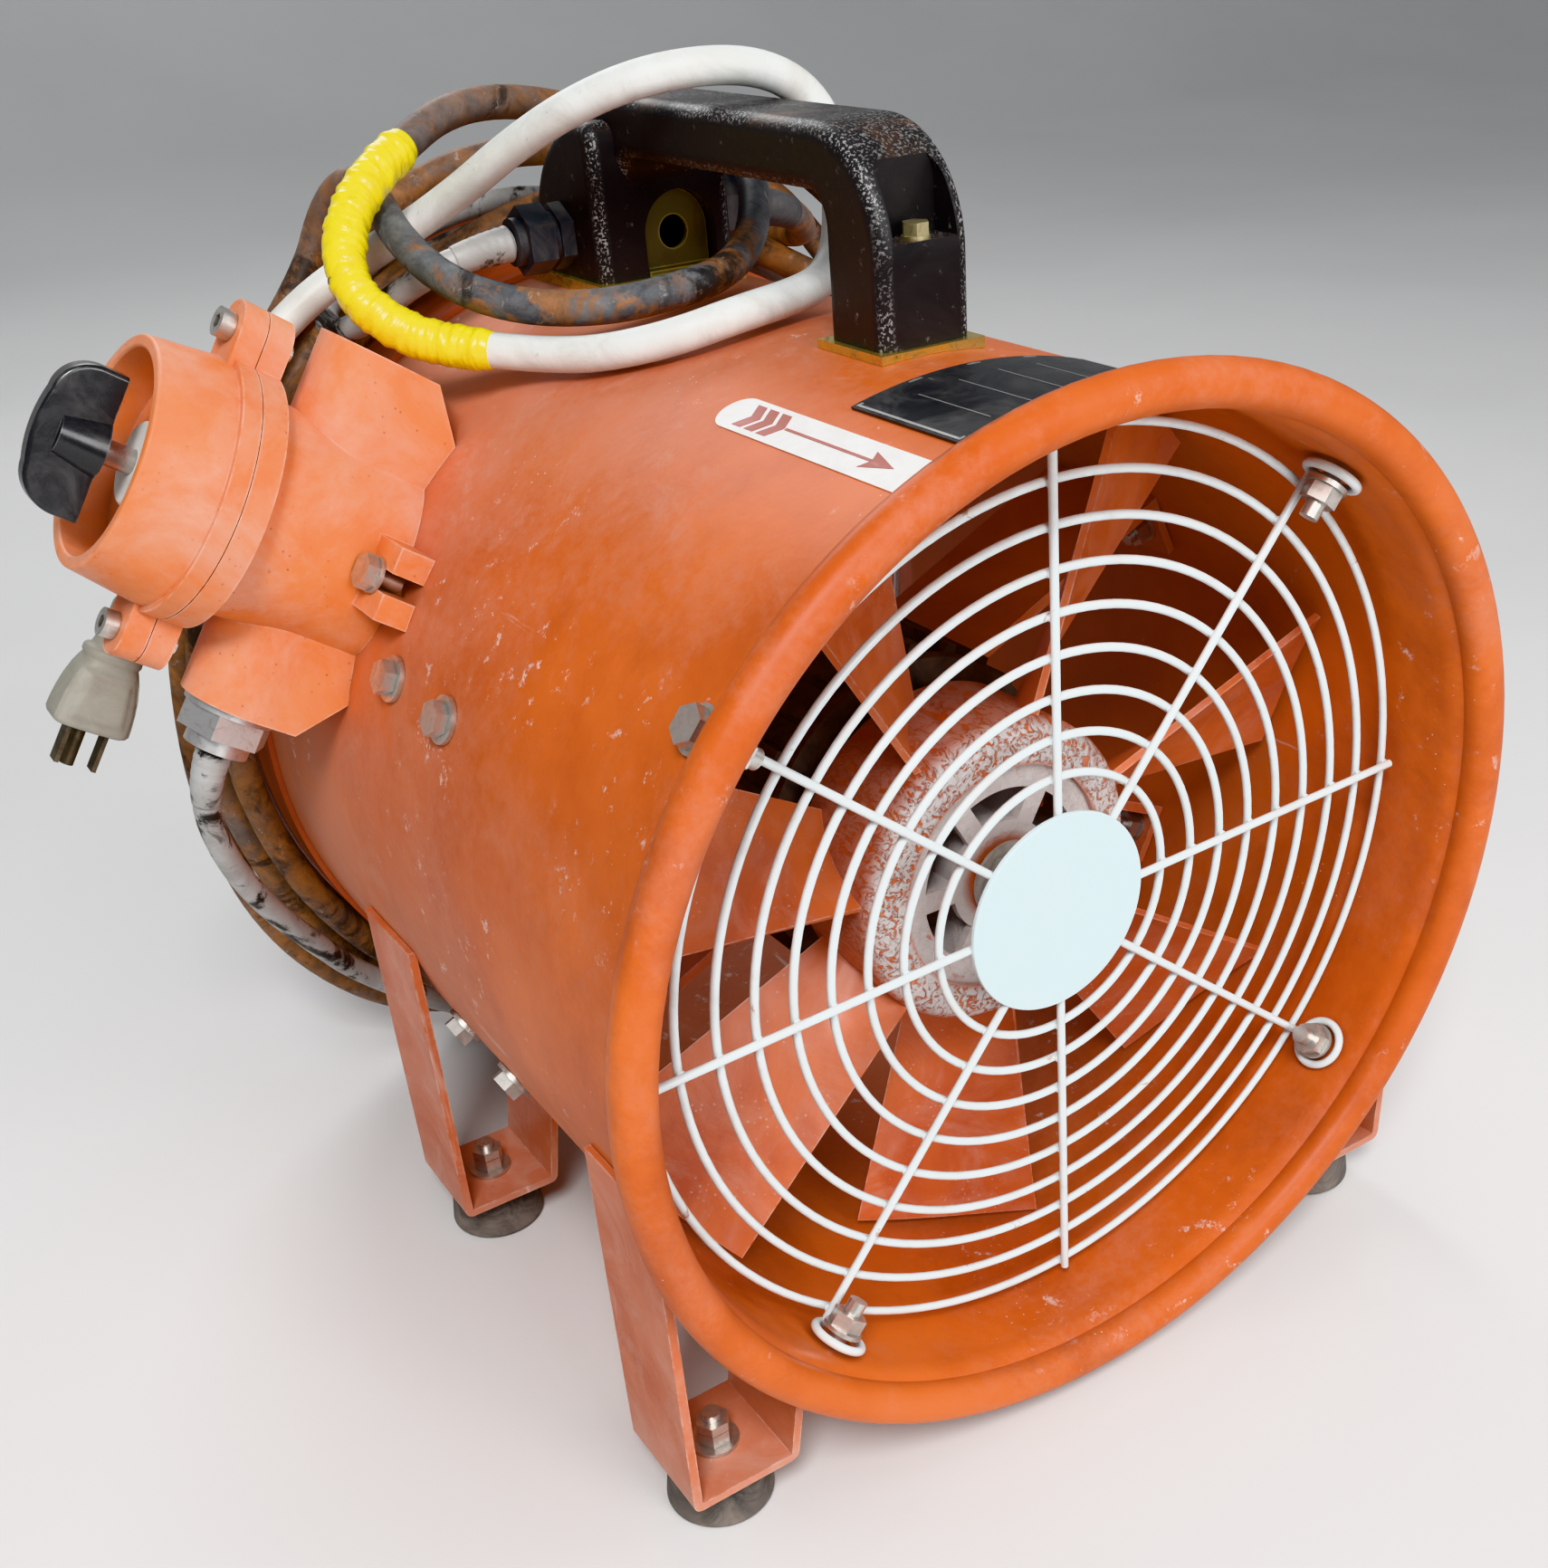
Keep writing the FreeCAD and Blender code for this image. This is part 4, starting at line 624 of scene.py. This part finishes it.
def paint_nodes():
    """Give every CAD node that stays in view its material."""
    steel = bare_metal("dull_steel", (0.72, 0.70, 0.66), (0.52, 0.50, 0.47), 0.20, 0.26)
    cast = cast_paint()
    blade = blade_paint()
    leg = leg_paint()
    motor = motor_paint()
    rubber = foot_rubber()
    gland = smooth_plastic("gland_plastic", (0.040, 0.046, 0.055), (0.20, 0.17, 0.15), 0.40)
    zinc = zinc_plate("zinc_plate", 0.06)
    core = bare_metal("core_steel", (0.34, 0.33, 0.33), (0.22, 0.20, 0.19), 0.5, 0.38)
    ground = bare_metal("ground_steel", (0.70, 0.69, 0.67), (0.50, 0.48, 0.46), 0.35, 0.22)
    guard = guard_paint()
    finishes = {
        "drum_shell": drum_paint(), "inlet_bell": shaded_rear_paint(), "guard_rings": guard,
        "guard_spokes": guard, "inlet_guard": guard, "guard_disc": disc_paint(),
        "guard_bolts": steel, "arm_bolts": steel, "foot_studs": steel, "switch_screws": steel,
        "impeller_hub": hub_paint(), "impeller_nut": steel, "motor_shaft": ground,
        "motor_rotor": core, "motor_stator": core, "motor_windings": winding_copper(),
        "motor_housing": motor, "motor_end_front": motor, "motor_end_back": motor,
        "bearing_outer_rings": ground, "bearing_inner_rings": ground, "motor_arms": blade,
        "handle_grip": pebbled("grip_plastic", (0.020, 0.019, 0.020), (0.060, 0.054, 0.052),
                               scuff=0.6),
        "handle_plates": zinc, "handle_bracket": zinc_plate("zinc_bracket", 0.40),
        "handle_screw": bare_metal("zinc_screw", (0.74, 0.66, 0.38), (0.52, 0.47, 0.30), 0.5),
        "handle_glands": gland, "switch_body": cast, "switch_cover": cast,
        "switch_block": smooth_plastic("block_plastic", (0.52, 0.50, 0.46), (0.26, 0.20, 0.16)),
        "switch_bush": smooth_plastic("bush_plastic", (0.74, 0.73, 0.69), (0.44, 0.38, 0.32)),
        "switch_gland": bare_metal("gland_metal", (0.80, 0.80, 0.80), (0.62, 0.61, 0.60),
                                   0.25, 0.24),
        "switch_knob": knob_plastic(), "knob_spindle": ground,
        "plug_pins": bare_metal("pin_brass", (0.20, 0.17, 0.12), (0.09, 0.075, 0.06), 0.6, 0.42),
        "nameplate": label_stock("plate_metal", (0.028, 0.030, 0.034), (0.16, 0.155, 0.15),
                                 0.30, 0.25),
        "flow_arrow": label_stock("label_paper", (0.80, 0.80, 0.79), (0.62, 0.53, 0.47)),
    }
    for name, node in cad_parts.items():
        if name.startswith("impeller_blade"):
            finishes[name] = blade
        elif name.startswith("leg_"):
            finishes[name] = leg
        elif name.startswith("foot_") and name != "foot_studs":
            finishes[name] = rubber
        if name in finishes:
            node.data.materials.clear()
            node.data.materials.append(finishes[name])
    return gland


# ------------------------------------------------------------------ pieces

def placed(name, data, material):
    """Object of a piece on the root, with its material."""
    data.materials.append(material)
    piece = bpy.data.objects.new(name, data)
    bpy.context.scene.collection.objects.link(piece)
    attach(piece, "root")
    return piece


def mesh_piece(name, points, faces, material):
    mesh = bpy.data.meshes.new(name)
    mesh.from_pydata([tuple(p) for p in points], [], faces)
    build = bmesh.new()
    build.from_mesh(mesh)
    bmesh.ops.recalc_face_normals(build, faces=build.faces)
    build.to_mesh(mesh)
    build.free()
    for face in mesh.polygons:
        face.use_smooth = True
    return placed(name, mesh, material)


def cord_piece(name, route, material, radius=CORD_R):
    """A cord as one smooth spline with the route as its control points."""
    curve = bpy.data.curves.new(name, "CURVE")
    curve.dimensions = "3D"
    curve.bevel_depth = radius * MM
    curve.bevel_resolution = 6
    curve.resolution_u = 5
    curve.use_fill_caps = True
    add_spline(curve, route)
    return placed(name, curve, material)


def add_spline(curve, route):
    spline = curve.splines.new("NURBS")
    spline.points.add(len(route) - 1)
    for point, place in zip(spline.points, route):
        point.co = (*place, 1.0)
    spline.order_u = 3
    spline.use_endpoint_u = True


def line_of(route, resolution=12):
    """Points along a route's own spline, read from the curve."""
    curve = bpy.data.curves.new("line", "CURVE")
    curve.dimensions = "3D"
    curve.resolution_u = resolution
    add_spline(curve, route)
    holder = bpy.data.objects.new("line", curve)
    mesh = bpy.data.meshes.new_from_object(holder)
    points = [v.co.copy() for v in mesh.vertices]
    bpy.data.meshes.remove(mesh)
    bpy.data.objects.remove(holder)
    bpy.data.curves.remove(curve)
    return points


def resampled(points, pitch):
    """The same line with its points a given distance apart, in metres."""
    steps = [(b - a).length for a, b in zip(points, points[1:])]
    whole = sum(steps)
    count = max(2, round(whole / pitch))
    result, index, passed = [], 0, 0.0
    for k in range(count + 1):
        goal = whole * k / count
        while index < len(steps) - 1 and passed + steps[index] < goal:
            passed += steps[index]
            index += 1
        t = (goal - passed) / steps[index] if steps[index] else 0.0
        result.append(points[index].lerp(points[index + 1], min(1.0, t)))
    return result


def sleeve(name, line, radius_at, material, around=32):
    """Closed skin round a line; radius_at(distance, turn) is in metres."""
    points, faces = [], []
    way = (line[1] - line[0]).normalized()
    side = way.orthogonal().normalized()
    travelled = 0.0
    for k, place in enumerate(line):
        ahead = line[min(k + 1, len(line) - 1)] - line[max(k - 1, 0)]
        turn = way.rotation_difference(ahead.normalized())
        way, side = ahead.normalized(), (turn @ side).normalized()
        across = way.cross(side)
        for j in range(around):
            angle = 2 * math.pi * j / around
            out = side * math.cos(angle) + across * math.sin(angle)
            points.append(place + out * radius_at(travelled, j / around))
        if k + 1 < len(line):
            travelled += (line[k + 1] - place).length
    for k in range(len(line) - 1):
        for j in range(around):
            a, b = k * around + j, k * around + (j + 1) % around
            faces.append((a, b, b + around, a + around))
    last = (len(line) - 1) * around
    faces.append(tuple(range(around)))
    faces.append(tuple(range(last, last + around)))
    return mesh_piece(name, points, faces, material)


TAPE_LAP = 9.5 * MM        # how far each lap of the tape moves along the cord
TAPE_END = 4.0 * MM


def make_tape(material):
    line = resampled(line_of(TAPE), 0.5 * MM)
    whole = sum((b - a).length for a, b in zip(line, line[1:]))

    def radius_at(travelled, turn):
        lap = (travelled / TAPE_LAP + turn) % 1.0
        edge = min(1.0, (1.0 - lap) / 0.10)
        ends = min(1.0, travelled / TAPE_END, (whole - travelled) / TAPE_END)
        round_x, round_y = math.cos(turn * 2 * math.pi), math.sin(turn * 2 * math.pi)
        along = travelled / MM + 3.0 * turn
        crease = noise.noise(Vector((round_x * 0.9, round_y * 0.9, along * 0.42))) * 0.50
        crease += noise.noise(Vector((round_x * 1.7, round_y * 1.7, along * 0.95))) * 0.34
        lump = noise.noise(Vector((round_x * 0.7, round_y * 0.7, travelled / MM * 0.06))) * 0.5
        height = 0.85 + 0.50 * lap * edge + crease + lump
        return (CORD_R + 0.12 + max(0.0, height) * ends) * MM
    return sleeve("splice_wrap", line, radius_at, material, 40)


RELIEF_START = 0.5      # from the start of the cord, in millimetres


def make_relief(name, route, radius, length, material):
    """Tapered, ribbed sleeve over a cord where it leaves a gland."""
    line = resampled(line_of(route), 0.7 * MM)
    kept, travelled = [], 0.0
    for a, b in zip(line, line[1:]):
        if RELIEF_START * MM <= travelled <= (RELIEF_START + length) * MM:
            kept.append(a)
        travelled += (b - a).length

    def radius_at(travelled, turn):
        t = min(1.0, travelled / (length * MM))
        rib = 0.12 * math.sin(travelled / (2.9 * MM) * 2 * math.pi) * (1 - t)
        lip = 0.35 * min(1.0, travelled / (0.8 * MM)) - 0.35
        return (radius + 0.20 + 1.3 * (1 - t) ** 0.8 + rib + lip) * MM
    return sleeve(name, kept, radius_at, material)


PLUG_START = fan(-198, 263, 63)
PLUG_WAY = (PLUG_START - fan(-184, 263, 83)).normalized()
# Sections of the moulded plug: distance along it, half width, half height,
# squareness.  A waisted neck, a raised collar, then the block flares out.
PLUG_SECTIONS = (
    (-12.0, 5.8, 5.8, 2.0), (-11.0, 6.1, 6.1, 2.0), (-6.0, 6.3, 6.3, 2.0), (0.0, 6.8, 6.7, 2.0),
    (4.0, 7.6, 7.4, 2.1), (5.2, 8.0, 7.6, 2.1), (5.7, 9.3, 8.4, 2.2), (6.4, 9.8, 8.8, 2.3),
    (8.2, 9.9, 8.9, 2.3), (8.9, 9.4, 8.5, 2.4), (9.4, 9.2, 8.3, 2.6), (11.0, 9.8, 8.5, 3.0),
    (14.0, 10.7, 8.9, 3.6), (19.0, 11.8, 9.2, 4.4), (24.0, 12.5, 9.4, 5.0), (29.0, 12.9, 9.5, 5.4),
    (32.0, 13.0, 9.5, 5.4), (33.2, 12.5, 9.0, 5.0), (33.9, 11.6, 8.2, 4.4),
)
PLUG_PANEL = (14.0, 30.5, 7.4)      # from, to, half width at its start
PLUG_AROUND = 64
PANEL_RELIEF = 0.8


def superellipse(wide, high, power, angle):
    c, s = math.cos(angle), math.sin(angle)
    x = math.copysign(abs(c) ** (2 / power), c) * wide
    y = math.copysign(abs(s) ** (2 / power), s) * high
    return x, y


def plug_panel(x, along):
    """Height of the raised panel on the plug's two flat faces, 0 to 1."""
    start, end, half = PLUG_PANEL
    inside = min(half + (along - start) * 0.13 - abs(x), along - start, end - along)
    return min(1.0, inside / 1.1) if inside > 0.0 else 0.0


def make_plug(material):
    turn = Vector((0, 0, 1)).rotation_difference(PLUG_WAY).to_matrix()
    around = PLUG_AROUND
    stations = []
    for (s0, *a), (s1, *b) in zip(PLUG_SECTIONS, PLUG_SECTIONS[1:]):
        count = max(1, round((s1 - s0) / 0.9))
        for k in range(count):
            t = k / count
            stations.append((s0 + (s1 - s0) * t, *[p + (q - p) * t for p, q in zip(a, b)]))
    stations.append(PLUG_SECTIONS[-1])
    points, faces = [], []
    for along, wide, high, power in stations:
        for j in range(around):
            x, y = superellipse(wide, high, power, 2 * math.pi * j / around)
            if abs(y) > high * 0.72 and PLUG_PANEL[0] - 2 < along < PLUG_PANEL[1] + 2:
                y -= math.copysign(PANEL_RELIEF * (1 - plug_panel(x, along)), y)
            points.append(PLUG_START + turn @ Vector((x, y, along)) * MM)
    for k in range(len(stations) - 1):
        for j in range(around):
            a, b = k * around + j, k * around + (j + 1) % around
            faces.append((a, b, b + around, a + around))
    last = (len(stations) - 1) * around
    faces.append(tuple(range(around)))
    faces.append(tuple(range(last, last + around)))
    return mesh_piece("plug_shell", points, faces, material)


# ---------------------------------------------------- printed marks, welds

ARROW_ANGLE = 109.8
LABEL_R = DRUM_R + 0.35
PRINT_GAP = 0.02        # under a print, so that it does not share a face


def printed(name, outlines, angle, radius, material, thick=0.12):
    """Flat outlines of (y, distance round the drum), laid on the drum."""
    build = bmesh.new()
    for outline in outlines:
        ring = [build.verts.new((y, w, 0.0)) for y, w in outline]
        build.faces.new(ring)
    bmesh.ops.triangulate(build, faces=build.faces[:])
    bmesh.ops.subdivide_edges(build, edges=build.edges[:], cuts=3, use_grid_fill=True)
    sheet = bmesh.ops.extrude_face_region(build, geom=build.faces[:])
    top = {item for item in sheet["geom"] if isinstance(item, bmesh.types.BMVert)}
    for vert in build.verts:
        lift = thick if vert in top else PRINT_GAP
        y, w = vert.co.x, vert.co.y
        vert.co = polar(angle - math.degrees(w / radius), radius + lift, y)
    mesh = bpy.data.meshes.new(name)
    bmesh.ops.recalc_face_normals(build, faces=build.faces[:])
    build.to_mesh(mesh)
    build.free()
    return placed(name, mesh, material)


def make_arrow(material):
    """Arrow towards the outlet with three slanted bars behind it."""
    outlines = [
        [(1.0, 0.0), (13.0, -3.6), (11.2, -0.55), (11.2, 0.55), (13.0, 3.6)],
        [(11.3, -0.5), (52.0, -0.5), (52.0, 0.5), (11.3, 0.5)],
    ]
    for k in range(3):
        y = 52.5 + 6.4 * k
        outlines.append([(y, 0.0), (y + 3.4, -5.0), (y + 8.0, -5.0), (y + 4.6, 0.0)])
        outlines.append([(y, 0.0), (y + 4.6, 0.0), (y + 8.0, 5.0), (y + 3.4, 5.0)])
    return printed("arrow_print", outlines, ARROW_ANGLE, LABEL_R, material)


PLATE_ANGLES = (74.0, 104.0)
PLATE_Y = (-6.0, 42.0)
PLATE_R = DRUM_R + 0.85


def make_plate_lines(material):
    """Border and blank ruled rows of the name plate."""
    middle = sum(PLATE_ANGLES) / 2
    half = math.radians(PLATE_ANGLES[1] - PLATE_ANGLES[0]) / 2 * PLATE_R
    y0, y1 = PLATE_Y
    outlines = []

    def bar(a0, a1, w0, w1):
        outlines.append([(a0, w0), (a1, w0), (a1, w1), (a0, w1)])
    edge, thin = 0.9, 0.35
    bar(y0 + 1, y0 + 1 + edge, 1 - half, half - 1)
    bar(y1 - 1 - edge, y1 - 1, 1 - half, half - 1)
    bar(y0 + 2.0, y1 - 2.0, 1 - half, 1 - half + edge)
    bar(y0 + 2.0, y1 - 2.0, half - 1 - edge, half - 1)
    for k in range(4):
        w = -half + 14 + 13.5 * k
        bar(y0 + 5, y1 - 12, w, w + thin)
    return printed("plate_lines", outlines, middle, PLATE_R, material)


RING_FIRST_R, RING_PITCH, RING_COUNT = 44.0, 12.7, 9
CROSS_ANGLE, DIAGONAL_ANGLE = 1.5, 50.5
BEAD_SIZE = (1.55, 0.85, 1.5)       # half sizes of a weld bead


def make_welds(name, angles, y, material):
    """Small beads where the guard's wires cross its rings."""
    build = bmesh.new()
    for angle in angles:
        for k in range(RING_COUNT):
            radius = RING_FIRST_R + RING_PITCH * k
            wobble = noise.noise(Vector((angle, radius, y)))
            place = polar(angle, radius, y)
            size = (Matrix.Diagonal((*(half * MM for half in BEAD_SIZE), 1.0))
                    @ Matrix.Scale(1 + 0.18 * wobble, 4))
            turn = Matrix.Rotation(-math.radians(angle + 25 * wobble), 4, "Y")
            bead = bmesh.ops.create_icosphere(build, subdivisions=2, radius=1.0,
                                              matrix=Matrix.Translation(place) @ turn @ size)
            for vert in bead["verts"]:
                vert.co += (vert.co - place) * 0.16 * noise.noise(vert.co * 900.0)
    mesh = bpy.data.meshes.new(name)
    build.to_mesh(mesh)
    build.free()
    for face in mesh.polygons:
        face.use_smooth = True
    return placed(name, mesh, material)


# ------------------------------------------------------------------- cords

def make_cords(gland):
    supply = cord_piece("cord_supply", SUPPLY, soiled_rubber())
    sheath = sheathed("grey_sheath", (0.44, 0.44, 0.43), (0.22, 0.195, 0.17), 1.0)
    link = cord_piece("cord_switch", LINK, sheath, LINK_R)
    lead = cord_piece("cord_lead", LEAD,
                      sheathed("white_sheath", (0.74, 0.76, 0.74), (0.46, 0.43, 0.38)))
    tape = make_tape(vinyl_tape())
    plug = make_plug(smooth_plastic("plug_plastic", (0.33, 0.32, 0.27), (0.20, 0.17, 0.13), 0.46))
    near = make_relief("relief_near", LINK, LINK_R, 21.0, sheath)
    far = make_relief("relief_far", SUPPLY[::-1], CORD_R, 24.0, gland)
    switch = make_relief("relief_switch", LINK[::-1], LINK_R, 21.0, sheath)
    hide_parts("cord_coil", "cord_tail", "cord_loop", "cord_brown")
    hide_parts("cord_link")
    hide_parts("cord_white")
    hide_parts("splice_tape")
    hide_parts("plug_body")


# ------------------------------------------------------------------ studio

def area_light(name, place, target, size, power, colour=(1.0, 1.0, 1.0)):
    data = bpy.data.lights.new(name, "AREA")
    data.shape = "DISK"
    data.size = size
    data.energy = power
    data.color = colour
    lamp = bpy.data.objects.new(name, data)
    lamp.location = place
    lamp.rotation_euler = (Vector(target) - Vector(place)).to_track_quat("-Z", "Y").to_euler()
    bpy.context.scene.collection.objects.link(lamp)


def make_floor():
    """Floor that sweeps up into a backdrop far behind."""
    profile = [(-3.0, 0.0), (-1.5, 0.0), (0.0, 0.0), (1.6, 0.0), (2.2, 0.05), (2.7, 0.25),
               (3.0, 0.6),
               (3.1, 1.2), (3.1, 2.6)]
    points = [(x, y, z - 0.0004) for y, z in profile for x in (-4.0, 4.0)]
    faces = [(2 * k, 2 * k + 1, 2 * k + 3, 2 * k + 2) for k in range(len(profile) - 1)]
    mesh = bpy.data.meshes.new("floor")
    mesh.from_pydata(points, [], faces)
    for face in mesh.polygons:
        face.use_smooth = True
    mesh.materials.append(floor_card())
    floor = bpy.data.objects.new("floor", mesh)
    bpy.context.scene.collection.objects.link(floor)


def make_studio():
    world = bpy.data.worlds.new("studio")
    world.use_nodes = True
    world.node_tree.nodes["Background"].inputs["Color"].default_value = (0.95, 0.97, 1.0, 1.0)
    world.node_tree.nodes["Background"].inputs["Strength"].default_value = 0.30
    bpy.context.scene.world = world
    bpy.context.scene.view_settings.view_transform = "Khronos PBR Neutral"
    middle = fan(0, 60, 0)
    area_light("key", (-0.75, -1.15, 1.60), middle, 0.6, 29)
    area_light("front", (0.10, -1.75, 0.85), middle, 0.9, 14)
    area_light("fill", (1.25, -0.95, 1.05), middle, 1.2, 4.5)
    area_light("rim", (0.25, 1.45, 1.40), middle, 0.9, 11)
    make_floor()


make_camera()
make_cords(paint_nodes())
make_arrow(label_stock("arrow_ink", (0.33, 0.040, 0.022), (0.42, 0.20, 0.14)))
make_plate_lines(label_stock("plate_silver", (0.50, 0.50, 0.50), (0.28, 0.25, 0.22), 0.3, 0.6))
WIRE_ANGLES = [first + 90 * k for first in (CROSS_ANGLE, DIAGONAL_ANGLE) for k in range(4)]
make_welds("guard_welds", WIRE_ANGLES, 0.0, guard_paint())
make_studio()
